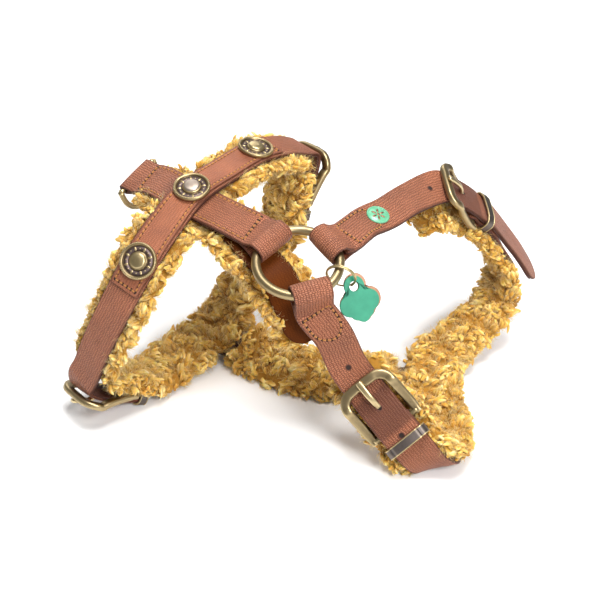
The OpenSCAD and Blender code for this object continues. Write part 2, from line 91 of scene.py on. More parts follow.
NECK_W, GIRTH_W, BACK_W = 20.0, 19.0, 22.0
STRAP_T, HALF_T = 2.8, 1.4
LINING_W, LINING_T = 30.0, 7.0
RING_R, RING_WIRE = 20.8, 2.4
BUCKLE_LEN, BUCKLE_HALF, BAR_RISE = 26.0, 13.6, 7.8
HEEL_R, HEEL_FOLD = 1.5, 3.08
RING_FOLD = RING_WIRE + 1.8 + 1.4
OVER_HEEL = 6.3
OVERLAY_T = 1.1
UNDER_STRAP = STRAP_T + 0.35
UNDER_BUCKLE = HEEL_FOLD + HALF_T + 0.7

chest = Frame([47.5, -82, 24.7], [-0.63, 0.53, 0.6], [-0.18, -0.82, 0.54])
neck = Frame([93, 42, 81], [-0.72, -0.34, 0.6], [0.58, -0.22, 0.78])
low = Frame([-96.5, -28.5, 11], [-0.67, -0.57, 0.475], [-0.36, -0.31, -0.88])
high = Frame([-3.5, 57.5, 81.5], [0.2, 0.17, 0.96], [0.72, 0.64, -0.24])
BUCKLES = {"chest": (chest, NECK_W), "neck": (neck, NECK_W),
           "girth_low": (low, GIRTH_W), "girth_high": (high, GIRTH_W)}

RING_C = np.array([-1.0, -41, 94.5])
RING_N = unit([0, -0.36, 0.93])
RING_X = np.array([1.0, 0, 0])
RING_Y = np.cross(RING_N, RING_X)
ring = Frame(RING_C, RING_X, RING_N)

# What moves the harness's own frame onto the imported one
STAND = np.mean(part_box("o_ring"), axis=0) * 1000 - RING_C


def ring_at(angle, r):
    a = math.radians(angle)
    return RING_C + r * (math.cos(a) * RING_X + math.sin(a) * RING_Y)


def ring_frame(angle, out):
    """Frame of a fold on the O ring, running across the wire."""
    a = math.radians(angle)
    across = math.cos(a) * RING_Y - math.sin(a) * RING_X
    out = np.asarray(out, float)
    n = unit(out - across * (out @ across))
    return Frame(ring_at(angle, RING_R - 1.5), np.cross(n, across), n)


back_end = ring_frame(137, RING_N)
left_end = ring_frame(36, [0.14, -0.26, 0.96])
right_end = ring_frame(-71, [0.1, -0.95, 0.2])
d_bar = Frame([-87, 27.5, 107.5], [-0.72, 0.68, -0.12], [-0.1, -0.45, 1])

# ---- Routes of the straps, on their outer face ----

girth_route = [
    high.on(-13, 5), high.on(-9, 5), high.on(0, OVER_HEEL),
    high.on(12, OVER_HEEL), high.on(26, 5),
    pt([-3, 58, 112], [0.3, 0, 1]), pt([-12, 49, 116], [0.1, -0.2, 1]),
    pt([-24, 36, 118.5], [0, -0.32, 1]), pt([-39, 16, 118], [-0.1, -0.4, 1]),
    pt([-55, -4, 115.5], [-0.13, -0.45, 0.9]), pt([-68, -21, 105.5], [-0.15, -0.7, 0.75]),
    pt([-80, -36, 92], [-0.2, -0.8, 0.58]), pt([-92, -43, 72], [-0.4, -0.8, 0.4]),
    pt([-104, -46, 49], [-0.55, -0.75, 0.25]), pt([-111, -46.5, 33], [-0.65, -0.7, 0.1]),
    pt([-115, -45.8, 25], [-0.72, -0.66, -0.1]),
    pt([-113.6, -43.4, 17.6], [-0.6, -0.6, -0.6]), low.on(12, OVER_HEEL),
    low.on(0, OVER_HEEL), low.on(-9, 5), low.on(-13, 5)]
back_route = [
    d_bar.on(-8, HALF_T), pt([-73, 14, 112], [0, -0.4, 1]),
    pt([-56, -3, 110.8], [0, -0.38, 1]), pt([-38, -15.5, 108], [0.05, -0.32, 1]),
    back_end.on(-RING_FOLD * 1.9, HALF_T)]
backing_route = [
    pt([-46, -9.5, 106], [0, -0.35, 0.95]), pt([-34, -17, 101.5], [0, -0.35, 0.95]),
    pt([-22, -28, 93], [0.1, -0.45, 0.87]), pt([-12, -38, 86.5], [0, -0.6, 0.8]),
    pt([-6, -51, 80], [-0.15, -0.8, 0.58]), pt([-1, -57, 70], [-0.2, -0.9, 0.3]),
    pt([2, -60, 59], [-0.2, -0.9, 0.3])]
left_route = [
    left_end.on(-RING_FOLD * 1.9, HALF_T),
    pt([33, -10, 100.5], [-0.15, -0.5, 0.87]), pt([45, 1, 100.5], [-0.1, -0.5, 0.85]),
    pt([59, 15, 102], [0.05, -0.42, 0.9]),
    neck.on(26, 5), neck.on(12, 6.5), neck.on(0, OVER_HEEL), neck.on(-8, 5), neck.on(-14, 5),
    pt([117.5, 52.5, 60], [0.83, -0.1, 0.5]), pt([128, 54.5, 45], [0.88, -0.1, 0.45]),
    pt([137, 54.5, 30], [0.88, -0.1, 0.45])]
right_route = [
    right_end.on(-RING_FOLD * 1.9, HALF_T), pt([16.5, -64.5, 66], [-0.15, -0.9, 0.4]),
    pt([23.5, -68.5, 51.5], [-0.17, -0.87, 0.46]), chest.on(24, 5.2), chest.on(12, OVER_HEEL),
    chest.on(0, OVER_HEEL), chest.on(-9, 5), chest.on(-12, 5)]
lower_neck_middle = [
    pt([64, -93.5, 9], [0.1, -0.9, -0.3]), pt([71, -86, 3], [0.3, -0.2, -0.95]),
    pt([73, -70, 1.5], [0.15, 0, -1]), pt([73, -46, 2], [0.1, 0, -1]),
    pt([71, -22, 5], [0, 0.1, -1]), pt([76, -2, 5.6], [0.1, 0.2, -1]),
    pt([92, 19, 6.5], [0.3, 0.25, -0.9]), pt([110, 36, 13], [0.6, 0.4, -0.7]),
    pt([120, 46, 26], [0.85, 0.45, -0.3]), pt([120, 50, 42], [0.93, 0.3, 0.2]),
    pt([113, 50, 57], [0.87, 0.1, 0.45]), pt([108.6, 48.8, 66.5], [0.78, -0.04, 0.55])]
lower_neck_route = ([chest.on(-6, HALF_T), chest.on(-15, HALF_T)] + lower_neck_middle
                    + [neck.on(-12.5, HALF_T), neck.on(-6, HALF_T)])
lower_girth_middle = [
    pt([-81.5, -14.5, 2.3], [-0.12, 0.1, -1]), pt([-73, -4, 3.5], [0, 0.3, -0.95]),
    pt([-55, 18, 6.5], [0.2, 0.45, -0.87]), pt([-41, 33, 13.5], [0.5, 0.6, -0.62]),
    pt([-31, 42, 29], [0.65, 0.72, -0.3]), pt([-19, 49, 48], [0.7, 0.7, -0.22]),
    pt([-9.3, 54, 59.3], [0.7, 0.7, -0.3])]
lower_girth_route = ([low.on(-6, HALF_T), low.on(-12.5, HALF_T)] + lower_girth_middle
                     + [high.on(-12.5, HALF_T), high.on(-6, HALF_T)])
sternum_middle = [
    pt([-20, 6, 3.8], [0.2, 0.35, -0.9]), pt([-2, -7, 3.4], [0.1, 0.36, -0.93]),
    pt([22, -14, 3.4], [0, 0.3, -0.95]), pt([44, -14, 2.6], [0, 0.16, -0.98])]
sternum_route = ([pt([-43, 26, 3.6], [0.2, 0.25, -0.93]), pt([-33, 18, 3.8], [0.25, 0.3, -0.9])]
                 + sternum_middle
                 + [pt([58, -11, 0.9], [0, 0.03, -1]), pt([74, -6, 0.7], [0, 0, -1]),
                    pt([89, -1, 0.7], [0, 0, -1])])


def curve(points, i, t):
    """Point at t between points i and i + 1 of a Catmull-Rom curve."""
    last = len(points) - 1
    a, b, c, d = (points[min(max(k, 0), last)] for k in (i - 1, i, i + 1, i + 2))
    return 0.5 * (2 * b + (c - a) * t + (2 * a - 5 * b + 4 * c - d) * t * t
                  + (3 * b - a - 3 * c + d) * t ** 3)


class Strip:
    """A smooth route as evenly spaced frames, with its length."""

    def __init__(self, route, depths=None, step=0.9):
        places = [np.asarray(r[0], float) for r in route]
        normals = [np.asarray(r[1], float) for r in route]
        depths = [0.0] * len(route) if depths is None else depths
        fine = 16
        p, n, d = [], [], []
        for i in range(len(route) - 1):
            for j in range(fine):
                p.append(curve(places, i, j / fine))
                n.append(curve(normals, i, j / fine))
                d.append(depths[i] + (depths[i + 1] - depths[i]) * j / fine)
        p, n, d = np.array(p + [places[-1]]), np.array(n + [normals[-1]]), np.array(d + [depths[-1]])
        length = np.concatenate([[0], np.cumsum(np.linalg.norm(np.diff(p, axis=0), axis=1))])
        self.marks = length[::fine]
        count = max(int(length[-1] / step), 4)
        even = np.linspace(0, length[-1], count + 1)
        p, n = (np.stack([np.interp(even, length, a[:, k]) for k in range(3)], 1) for a in (p, n))
        s = np.gradient(p, axis=0)
        s /= np.linalg.norm(s, axis=1)[:, None]
        n -= s * (n * s).sum(1)[:, None]
        n /= np.linalg.norm(n, axis=1)[:, None]
        depth = np.interp(even, length, d)
        self.l, self.p, self.s, self.n = even, p - n * depth[:, None], s, n
        self.t = np.cross(s, n)
        self.length = even[-1]

    def at(self, l):
        """Interpolated place, along, out and across at each length l."""
        pick = [np.stack([np.interp(l, self.l, a[:, k]) for k in range(3)], -1)
                for a in (self.p, self.s, self.n)]
        s = pick[1] / np.linalg.norm(pick[1], axis=-1, keepdims=True)
        n = pick[2] - s * (pick[2] * s).sum(-1, keepdims=True)
        n /= np.linalg.norm(n, axis=-1, keepdims=True)
        return pick[0], s, n, np.cross(s, n)

    def frame(self, l):
        p, s, n, _ = self.at(np.array([l]))
        return Frame(p[0], s[0], n[0])

    def part(self, start, end):
        """The same strip between two lengths."""
        keep = (self.l >= start) & (self.l <= end)
        piece = object.__new__(Strip)
        piece.l = self.l[keep] - self.l[keep][0]
        piece.p, piece.s, piece.n, piece.t = (a[keep] for a in (self.p, self.s, self.n, self.t))
        piece.length = piece.l[-1]
        return piece

    def bend(self):
        """One over the radius of each frame's bend."""
        turn = np.linalg.norm(np.gradient(self.s, axis=0), axis=1)
        run = np.linalg.norm(np.gradient(self.p, axis=0), axis=1)
        smooth = np.ones(7) / 7
        return np.convolve(np.pad(turn / run, 3, mode="edge"), smooth, mode="valid")


# ---- Meshes ----


def mesh_object(name, points, faces, material, data=None, smooth=True, recalc=True, shade=None):
    """A mesh from millimetres. data is a vector for each point and shade a number for each."""
    mesh = bpy.data.meshes.new(name)
    points = (np.asarray(points) + STAND) * 0.001
    mesh.from_pydata(points.tolist(), [], faces)
    if recalc:
        work = bmesh.new()
        work.from_mesh(mesh)
        bmesh.ops.recalc_face_normals(work, faces=work.faces)
        work.to_mesh(mesh)
        work.free()
    if smooth:
        mesh.polygons.foreach_set("use_smooth", [True] * len(mesh.polygons))
    if data is not None:
        layer = mesh.attributes.new("strap", "FLOAT_VECTOR", "POINT")
        layer.data.foreach_set("vector", np.asarray(data, np.float32).ravel())
    if shade is not None:
        layer = mesh.attributes.new("shade", "FLOAT", "POINT")
        layer.data.foreach_set("value", np.asarray(shade, np.float32))
    mesh.materials.append(material)
    piece = bpy.data.objects.new(name, mesh)
    bpy.context.scene.collection.objects.link(piece)
    return piece


def join(parts):
    """Several (points, faces) as one."""
    points, faces, base = [], [], 0
    for p, f in parts:
        points.append(np.asarray(p))
        faces += [[int(i) + base for i in face] for face in f]
        base += len(p)
    return np.concatenate(points), faces


def grid_faces(rows, columns):
    """Quads of a grid of points, closed across its columns."""
    i, j = np.meshgrid(np.arange(rows - 1), np.arange(columns), indexing="ij")
    a, b = i * columns + j, i * columns + (j + 1) % columns
    return np.stack([a, b, b + columns, a + columns], -1).reshape(-1, 4).tolist()


def looped_faces(rows, columns):
    """Quads of a grid closed across its columns and along its rows."""
    last = (rows - 1) * columns
    return grid_faces(rows, columns) + [
        [last + j, last + (j + 1) % columns, (j + 1) % columns, j] for j in range(columns)]


def capped(rings):
    """Points and faces of a closed sweep of (rows, columns, 3) rings."""
    rows, columns = rings.shape[:2]
    faces = grid_faces(rows, columns)
    faces += [list(range(columns))[::-1], [(rows - 1) * columns + j for j in range(columns)]]
    return rings.reshape(-1, 3), faces


def round_corners(h, top, bottom, r):
    """Section of a strap: points (across, outward) with rounded corners."""
    def arcs(corners):
        return [(cx + r * math.cos(a), cy + r * math.sin(a)) for cx, cy, start in corners
                for a in np.radians([start, start - 30, start - 60, start - 90])]

    flat = np.linspace(r - h, h - r, 9)
    points = [(w, top) for w in flat[:-1]]
    points += arcs([(h - r, top - r, 90), (h - r, bottom + r, 0)])
    points += [(w, bottom) for w in flat[-2:0:-1]]
    points += arcs([(r - h, bottom + r, -90), (r - h, top - r, -180)])
    return np.array(points[:-1])


def band(strip, width, top, bottom, r=0.6, crown=0.0, grooves=(), ends=(0, 0)):
    """A leather band on a strip: points, faces, and (along, across, edge) for each point.

    crown lifts its middle, each groove (offset, start, end) presses a stitch line into it,
    and ends gives the radius that each end is rounded to."""
    section = round_corners(width / 2, top, bottom, r)
    w, h = section[:, 0], section[:, 1]
    half = width / 2
    rows = len(strip.l)
    wide = np.ones(rows)
    for radius, gap in ((ends[0], strip.l), (ends[1], strip.length - strip.l)):
        if radius:
            u = np.clip(1 - gap / radius, 0, 0.995)
            wide *= 1 - (1 - np.sqrt(1 - u * u)) * min(radius / half, 1)
    across = w[None, :] * wide[:, None]
    out = np.repeat(h[None, :], rows, 0)
    upper = (h > (top + bottom) / 2)[None, :]
    out += np.where(upper, crown * (1 - (across / half) ** 2), 0)
    for offset, start, end in grooves:
        inside = ((strip.l > start) & (strip.l < end))[:, None]
        out -= np.where(upper & inside, 0.28 * np.exp(-((across - offset) / 0.7) ** 2), 0)
    rings = (strip.p[:, None, :] + strip.t[:, None, :] * across[..., None]
             + strip.n[:, None, :] * out[..., None])
    points, faces = capped(rings)
    walk = np.where(upper[0], w, np.sign(w) * (half + (top - h)))
    edge = np.clip((np.abs(w) - half + 1.3) / 1.3, 0, 1) * np.ones(rows)[:, None]
    data = np.stack([np.repeat(strip.l[:, None], len(w), 1),
                     np.repeat(walk[None, :], rows, 0), edge], -1).reshape(-1, 3)
    return points, faces, data


def fold_strip(f, r, reach):
    """The middle of a leather layer that runs to a bar, round it and back."""
    start, rise = HALF_T - 0.65, r - 0.1
    lead = [(-reach, start), (-reach * 0.72, start + (rise - start) * 0.16),
            (-reach * 0.45, start + (rise - start) * 0.55), (-r * 0.55, rise * 0.97)]
    arc = [(r * math.sin(a), r * math.cos(a)) for a in np.radians([0, 30, 60, 90, 120, 150, 180])]
    back = [(s, -n) for s, n in reversed(lead)]
    line = lead + arc + back
    route = []
    for i, (s, n) in enumerate(line):
        a, b = line[max(i - 1, 0)], line[min(i + 1, len(line) - 1)]
        along = unit([b[0] - a[0], b[1] - a[1]])
        normal = f.s * -along[1] + f.n * along[0]
        route.append((f.spot(s, n), normal))
    return Strip(route, step=0.45)


def offset_strip(strip, across):
    """The strip moved sideways."""
    piece = strip.part(-1, strip.length + 1)
    piece.p = piece.p + piece.t * across
    return piece


def superellipse(a, b, count=20, power=2.0):
    """Section of a bar: an ellipse at power 2, squarer above it."""
    angles = np.arange(count) * TAU / count
    c, s = np.cos(angles), np.sin(angles)
    return np.stack([a * np.sign(c) * np.abs(c) ** (2 / power),
                     b * np.sign(s) * np.abs(s) ** (2 / power)], 1)


def rod(route, section, scale=None, step=0.8, closed=False):
    """A bar swept along a route. scale(u) gives its (width, height) at a part u of its length."""
    strip = Strip(route, step=step)
    rings = []
    for i in range(len(strip.l)):
        kw, kh = scale(strip.l[i] / strip.length) if scale else (1, 1)
        rings.append(strip.p[i] + section[:, :1] * kw * strip.t[i] + section[:, 1:] * kh * strip.n[i])
    rings = np.array(rings)
    if closed:
        rings = rings[:-1]
        return rings.reshape(-1, 3), looped_faces(*rings.shape[:2])
    return capped(rings)


def lathe(profile, count=64):
    """Points and faces of a turned shape from (radius, height) points, starting on the axis."""
    angles = np.arange(count) * TAU / count
    rings = np.array([[[r * math.cos(a), r * math.sin(a), z] for a in angles]
                      for r, z in profile if r > 1e-6])
    points = rings.reshape(-1, 3).tolist()
    faces = grid_faces(len(rings), count)
    for row, (r, z) in ((0, profile[0]), (len(rings) - 1, profile[-1])):
        if r <= 1e-6:
            points.append([0, 0, z])
            hub = len(points) - 1
            loop = [row * count + j for j in range(count)]
            faces += [[loop[j], loop[(j + 1) % count], hub] for j in range(count)]
        else:
            faces.append([row * count + j for j in range(count)])
    return np.array(points), faces


def round_profile(points, r=0.25):
    """The profile with each inner corner cut into a small arc."""
    out = [points[0]]
    for a, b, c in zip(points, points[1:], points[2:]):
        a, b, c = (np.asarray(q, float) for q in (a, b, c))
        cut = min(r, np.linalg.norm(b - a) * 0.4, np.linalg.norm(c - b) * 0.4)
        first, last = b + unit(a - b) * cut, b + unit(c - b) * cut
        out += [tuple(first * (1 - t) ** 2 + 2 * b * t * (1 - t) + last * t * t)
                for t in (0, 0.33, 0.67, 1)]
    return out + [points[-1]]


def torus(r, wire, count=128, sides=24, wobble=0.0):
    """A ring of round wire. wobble is how much its thickness varies, as on a cast ring."""
    round_wire = np.arange(sides) * TAU / sides
    rings = []
    for a in np.arange(count) * TAU / count:
        thick = wire * (1 + wobble * math.sin(3 * a + 1) * math.sin(7 * a))
        reach = r + thick * np.cos(round_wire)
        rings.append(np.stack([reach * math.cos(a), reach * math.sin(a), thick * np.sin(round_wire)], 1))
    return np.concatenate(rings), looped_faces(count, sides)


def dome(r, h, rows=5, count=14):
    """A low round boss that stands on the plane z = 0."""
    profile = [(r * math.cos(a), h * math.sin(a)) for a in np.linspace(0, math.pi / 2, rows)]
    return lathe([(0, 0)] + profile[:-1] + [(0, h)], count)


def turned(points, angle):
    """Points turned about their own z axis."""
    c, s = math.cos(angle), math.sin(angle)
    return points @ np.array([[c, s, 0], [-s, c, 0], [0, 0, 1]])


# ---- Materials ----


class Nodes:
    """A material's node tree, with short calls for the nodes used here."""

    def __init__(self, name):
        self.material = bpy.data.materials.new(name)
        self.material.use_nodes = True
        self.tree = self.material.node_tree
        self.shader = self.tree.nodes["Principled BSDF"]

    def add(self, kind, inputs=None, **settings):
        node = self.tree.nodes.new("ShaderNode" + kind)
        for key, value in settings.items():
            setattr(node, key, value)
        for key, value in (inputs or {}).items():
            socket = node.inputs[key]
            if isinstance(value, bpy.types.NodeSocket):
                self.tree.links.new(value, socket)
            else:
                socket.default_value = value
        return node

    def set(self, **values):
        for key, value in values.items():
            self.shader.inputs[key.replace("_", " ")].default_value = value

    def link(self, socket, name):
        self.tree.links.new(socket, self.shader.inputs[name])

    def attribute(self, name, output="Vector"):
        return self.add("Attribute", attribute_name=name).outputs[output]

    def noise(self, scale, vector=None, detail=4.0, rough=0.55):
        inputs = {"Scale": scale, "Detail": detail, "Roughness": rough}
        if vector is not None:
            inputs["Vector"] = vector
        else:
            inputs["Vector"] = self.add("TexCoord").outputs["Object"]
        return self.add("TexNoise", inputs).outputs[0]

    def ramp(self, factor, *stops):
        node = self.add("ValToRGB", {"Fac": factor})
        stops_now = node.color_ramp.elements
        while len(stops_now) < len(stops):
            stops_now.new(0.5)
        for element, (place, value) in zip(stops_now, stops):
            element.position = place
            element.color = (*value, 1) if isinstance(value, tuple) else (value, value, value, 1)
        return node.outputs["Color"]

    def mix(self, factor, a, b):
        node = self.add("Mix", data_type="RGBA")
        for key, value in (("Factor", factor), (6, a), (7, b)):
            socket = node.inputs[key]
            if isinstance(value, bpy.types.NodeSocket):
                self.tree.links.new(value, socket)
            else:
                socket.default_value = (*value, 1) if isinstance(value, tuple) else value
        return node.outputs[2]

    def maths(self, kind, a, b=0.0):
        node = self.add("Math", operation=kind)
        for key, value in ((0, a), (1, b)):
            if isinstance(value, bpy.types.NodeSocket):
                self.tree.links.new(value, node.inputs[key])
            else:
                node.inputs[key].default_value = value
        return node.outputs[0]

    def bump(self, height, strength, distance=0.0003, normal=None):
        inputs = {"Height": height, "Strength": strength, "Distance": distance}
        if normal is not None:
            inputs["Normal"] = normal
        return self.add("Bump", inputs).outputs["Normal"]


def leather(name, base, dark, light, embossed=1.0, rough=0.46, gloss=0.34):
    """Grained leather: small embossed scales with painted shade in their grooves and a painted highlight on
    their tops, and dyed dark edges.
    """
    m = Nodes(name)
    strap = m.attribute("strap")
    scaled = m.add("Mapping", {"Vector": strap, "Scale": (1.15, 0.68, 1.0)}).outputs[0]
    warp = m.noise(0.35, strap, 2.0)
    bent = m.add("VectorMath", {0: scaled, 1: m.add("CombineXYZ", {"X": warp, "Y": warp}).outputs[0]},
                 operation="ADD").outputs[0]
    cells = m.add("TexVoronoi", {"Vector": bent, "Scale": 1.0, "Randomness": 0.5},
                  feature="DISTANCE_TO_EDGE", voronoi_dimensions="2D").outputs["Distance"]
    scales = m.ramp(cells, (0.02, 0.0), (0.2, 0.75), (0.5, 1.0))
    fine = m.noise(2.2, strap, 6.0, 0.65)
    broad = m.noise(0.06, strap, 3.0)
    tone = m.mix(m.ramp(broad, (0.3, 0.0), (0.7, 1.0)), base, dark)
    # Painted highlight: the tops of the scales are mixed towards the light colour.
    wear_and_highlight = m.mix(m.maths("MULTIPLY", scales, m.maths("MULTIPLY", fine, 1.1 * embossed)), tone, light)
    # Painted shade: the grooves between the scales are mixed towards the dark colour.
    groove_shade = m.mix(m.maths("MULTIPLY", m.maths("SUBTRACT", 1.0, scales), 0.85 * embossed), wear_and_highlight, dark)
    edge = m.add("SeparateXYZ", {0: strap}).outputs["Z"]
    m.link(m.mix(m.ramp(edge, (0.35, 0.0), (1.0, 0.85)), groove_shade, tuple(0.55 * c for c in dark)),
           "Base Color")
    spread = m.add("MapRange", {"Value": fine, "To Min": rough - 0.1, "To Max": rough + 0.16})
    m.link(spread.outputs[0], "Roughness")
    first = m.bump(scales, 0.9 * embossed, 0.0005)
    m.link(m.bump(fine, 0.35, 0.00022, first), "Normal")
    m.set(Specular_IOR_Level=gloss, Coat_Weight=0.03, Coat_Roughness=0.35)
    return m.material


def fleece_material():
    """Curly golden pile, with painted shade dark down in it and a painted highlight pale at its tips."""
    m = Nodes("fleece")
    shade = m.attribute("shade", "Fac")
    patch = m.noise(55.0, None, 3.0)
    fibre = m.noise(900.0, None, 5.0, 0.7)
    mixed = m.maths("ADD", shade, m.maths("MULTIPLY", m.maths("SUBTRACT", fibre, 0.5), 0.35))
    # The shade value runs from root to tip: the ramp's dark end paints the shade down in the pile and its
    # pale end the highlight on the tips.
    curls = m.ramp(mixed, (0.0, (0.17, 0.066, 0.008)), (0.35, (0.45, 0.225, 0.032)),
                   (0.62, (0.66, 0.385, 0.08)), (0.82, (0.8, 0.54, 0.16)), (1.0, (0.9, 0.71, 0.34)))
    warm = m.mix(m.ramp(patch, (0.35, 0.0), (0.65, 0.3)), curls, (0.58, 0.3, 0.05))
    m.link(warm, "Base Color")
    m.link(m.bump(fibre, 0.5, 0.0004), "Normal")
    m.set(Roughness=0.95, Specular_IOR_Level=0.08, Sheen_Weight=0.4, Sheen_Roughness=0.5,
          Sheen_Tint=(1.0, 0.8, 0.42, 1), Subsurface_Weight=0.5, Subsurface_Scale=0.002,
          Subsurface_Radius=(1.0, 0.62, 0.28))
    return m.material


def metal(name, base, dark, bright, rough=0.33, patina=0.6):
    """Aged metal: darkened faces, rubbed bright edges and fine scratches."""
    m = Nodes(name)
    wear_and_highlight = m.ramp(m.add("NewGeometry").outputs["Pointiness"], (0.49, 0.0), (0.56, 1.0))
    cloud = m.noise(260.0, None, 5.0, 0.65)
    spots = m.noise(1500.0, None, 4.0, 0.6)
    face = m.mix(m.maths("MULTIPLY", m.ramp(cloud, (0.35, 0.0), (0.62, 1.0)), patina), base, dark)
    pitted = m.mix(m.ramp(spots, (0.6, 0.0), (0.78, 0.5)), face, dark)
    m.link(m.mix(wear_and_highlight, pitted, bright), "Base Color")
    m.link(m.add("MapRange", {"Value": cloud, "To Min": rough - 0.1, "To Max": rough + 0.2}).outputs[0],
           "Roughness")
    m.link(m.bump(m.maths("ADD", cloud, m.maths("MULTIPLY", spots, 0.4)), 0.25, 0.0002), "Normal")
    m.set(Metallic=1.0)
    return m.material


def plain(name, base, dark, rough, scale=400.0, bump=0.2, coat=0.0, sheen=0.0):
    """A finish that varies gently between two colours."""
    m = Nodes(name)
    cloud = m.noise(scale, None, 5.0, 0.6)
    m.link(m.mix(m.ramp(cloud, (0.35, 0.0), (0.7, 1.0)), base, dark), "Base Color")
    m.link(m.add("MapRange", {"Value": cloud, "To Min": rough - 0.06, "To Max": rough + 0.1}).outputs[0],
           "Roughness")
    m.link(m.bump(cloud, bump, 0.0002), "Normal")
    m.set(Coat_Weight=coat, Coat_Roughness=0.08, Sheen_Weight=sheen)
    return m.material


# Each leather's third colour is the painted highlight on its scale tops, and its dark colour also paints the
# shade in its grooves.
LEATHER = leather("embossed_leather", (0.36, 0.108, 0.046), (0.12, 0.03, 0.014), (0.62, 0.26, 0.14))
SMOOTH = leather("smooth_leather", (0.37, 0.12, 0.05), (0.16, 0.045, 0.02), (0.52, 0.2, 0.1),
                 embossed=0.65, rough=0.42)
INNER = leather("inner_leather", (0.15, 0.05, 0.028), (0.08, 0.025, 0.015), (0.22, 0.08, 0.045),
                embossed=0.1, rough=0.6)
FLESH = leather("flesh_leather", (0.1, 0.022, 0.002), (0.055, 0.012, 0.002), (0.22, 0.066, 0.008),
                embossed=0.3, rough=0.6, gloss=0.04)
FLEECE = fleece_material()
THREAD = plain("thread", (0.46, 0.19, 0.03), (0.3, 0.11, 0.018), 0.7, 2500.0, 0.5, sheen=0.2)
# Painted shade for the dark insides of stitch and punched holes.
HOLE_SHADE = plain("hole", (0.02, 0.008, 0.005), (0.008, 0.004, 0.003), 0.9)
BRASS = metal("antique_brass", (0.2, 0.142, 0.074), (0.085, 0.06, 0.042), (0.56, 0.44, 0.23))
BRIGHT = metal("polished_brass", (0.4, 0.3, 0.14), (0.2, 0.14, 0.075), (0.68, 0.56, 0.32), 0.3, 0.5)
SILVER = metal("worn_silver", (0.34, 0.27, 0.22), (0.2, 0.15, 0.12), (0.55, 0.48, 0.4), 0.42, 0.6)
DARK_BRASS = metal("dark_brass", (0.12, 0.1, 0.095), (0.07, 0.058, 0.056), (0.2, 0.165, 0.13), 0.42,
                   0.5)
RECESS = metal("recess", (0.17, 0.125, 0.115), (0.075, 0.055, 0.052), (0.3, 0.22, 0.15), 0.5, 0.5)
COPPER = metal("copper_plate", (0.17, 0.075, 0.045), (0.09, 0.04, 0.028), (0.34, 0.19, 0.12), 0.42,
               0.6)
ENAMEL = plain("enamel", (0.016, 0.235, 0.132), (0.01, 0.18, 0.105), 0.55, 120.0, 0.06, coat=0.05)
BADGE = plain("badge_enamel", (0.13, 0.42, 0.24), (0.09, 0.32, 0.18), 0.3, 300.0, 0.08, coat=0.3)

# ---- Leather straps ----

PITCH = 2.7
THREAD_WIDE, THREAD_HIGH = 0.34, 0.32
# Each thread's way from hole to hole: part of the pitch, and height over the leather
THREAD_WAY = ((0.19, -0.4), (0.27, 0.1), (0.42, 0.27), (0.58, 0.27), (0.73, 0.1), (0.81, -0.4))
HOLE_LONG, HOLE_WIDE = 0.92, 0.7
CROWN = 0.3
# What gathers until flush_stitches makes pieces of it
thread_parts = []
hole_parts = []


def add(name, geometry, material, body, slot, *nodes, **options):
    """Makes a piece, rides it on its body and hides the CAD nodes it stands for.

    geometry is (points, faces), and a vector for each point where the material is leather."""
    points, faces, *data = geometry
    piece = mesh_object(name, points, faces, material, *data, **options)
    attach(piece, body)
    if nodes:
        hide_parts(*nodes)
    return piece


def hole_shade_disc(f, long, wide, rim, middle, count):
    """A thin dark patch of painted shade that stands for the inside of a hole. rim and middle are its
    heights.
    """
    edge = [[long * math.cos(a), wide * math.sin(a), rim] for a in np.arange(count) * TAU / count]
    return f.place(edge + [[0, 0, middle]]), [[j, (j + 1) % count, count] for j in range(count)]


def stitch(strip, line, lift, half, crown=CROWN):
    """Threads along a line of (length, across) points on a strip, with a hole at each end."""
    line = np.asarray(line, float)
    run = np.concatenate([[0], np.cumsum(np.linalg.norm(np.diff(line, axis=0), axis=1))])
    count = max(int(round(run[-1] / PITCH)), 1)
    marks = np.linspace(0, run[-1], count + 1)
    l, w = np.interp(marks, run, line[:, 0]), np.interp(marks, run, line[:, 1])
    p, s, n, t = strip.at(l)
    places = p + t * w[:, None] + n * (crown * (1 - (w / half) ** 2))[:, None]
    section = superellipse(THREAD_WIDE, THREAD_HIGH, 8)
    for i in range(count):
        a, b = places[i], places[i + 1]
        along = b - a
        out = unit(n[i] + n[i + 1])
        route = []
        for u, rise in THREAD_WAY:
            route.append((a + along * u + out * (lift + rise), out))
        thread_parts.append(rod(route, section, step=0.45))
    for i in range(count + 1):
        f = Frame(places[i], s[i], n[i])
        hole_parts.append(hole_shade_disc(f, HOLE_LONG, HOLE_WIDE, lift + 0.06, lift - 0.02, 10))


def stitched_box(strip, start, stop, edge, lifts, half, crown=CROWN):
    """A rectangle of stitches: along both edges at the first lift, across both ends at the second."""
    for side in (-edge, edge):
        stitch(strip, [(start, side), (stop, side)], lifts[0], half, crown)
    for end in (start, stop):
        stitch(strip, [(end, -edge), (end, edge)], lifts[1], half, crown)


def flush_stitches(name):
    """Makes one piece of the threads and one of their holes."""
    add(name + "_stitches", join(thread_parts), THREAD, "harness", "smooth_leather", recalc=False)
    add(name + "_stitch_holes", join(hole_parts), HOLE_SHADE, "harness", "embossed_leather", recalc=False)
    thread_parts.clear()
    hole_parts.clear()


def punched_hole(name, strip, l, r=1.3, long=1.0):
    """A punched hole with a pressed rim, its dark inside painted shade."""
    f = strip.frame(l)
    hole_parts.append(hole_shade_disc(f, r * long, r, CROWN + 0.05, CROWN + 0.03, 20))
    points, faces = torus(r + 0.15, 0.26, 32, 10)
    add("hole_rim_" + name, (f.place(points * [long, 1, 1] + [0, 0, CROWN - 0.06]), faces), INNER,
        "harness", "embossed_leather")


def nearest(strip, place):
    """Length along a strip at which it passes closest to a place."""
    return strip.l[np.argmin(np.linalg.norm(strip.p - place, axis=1))]


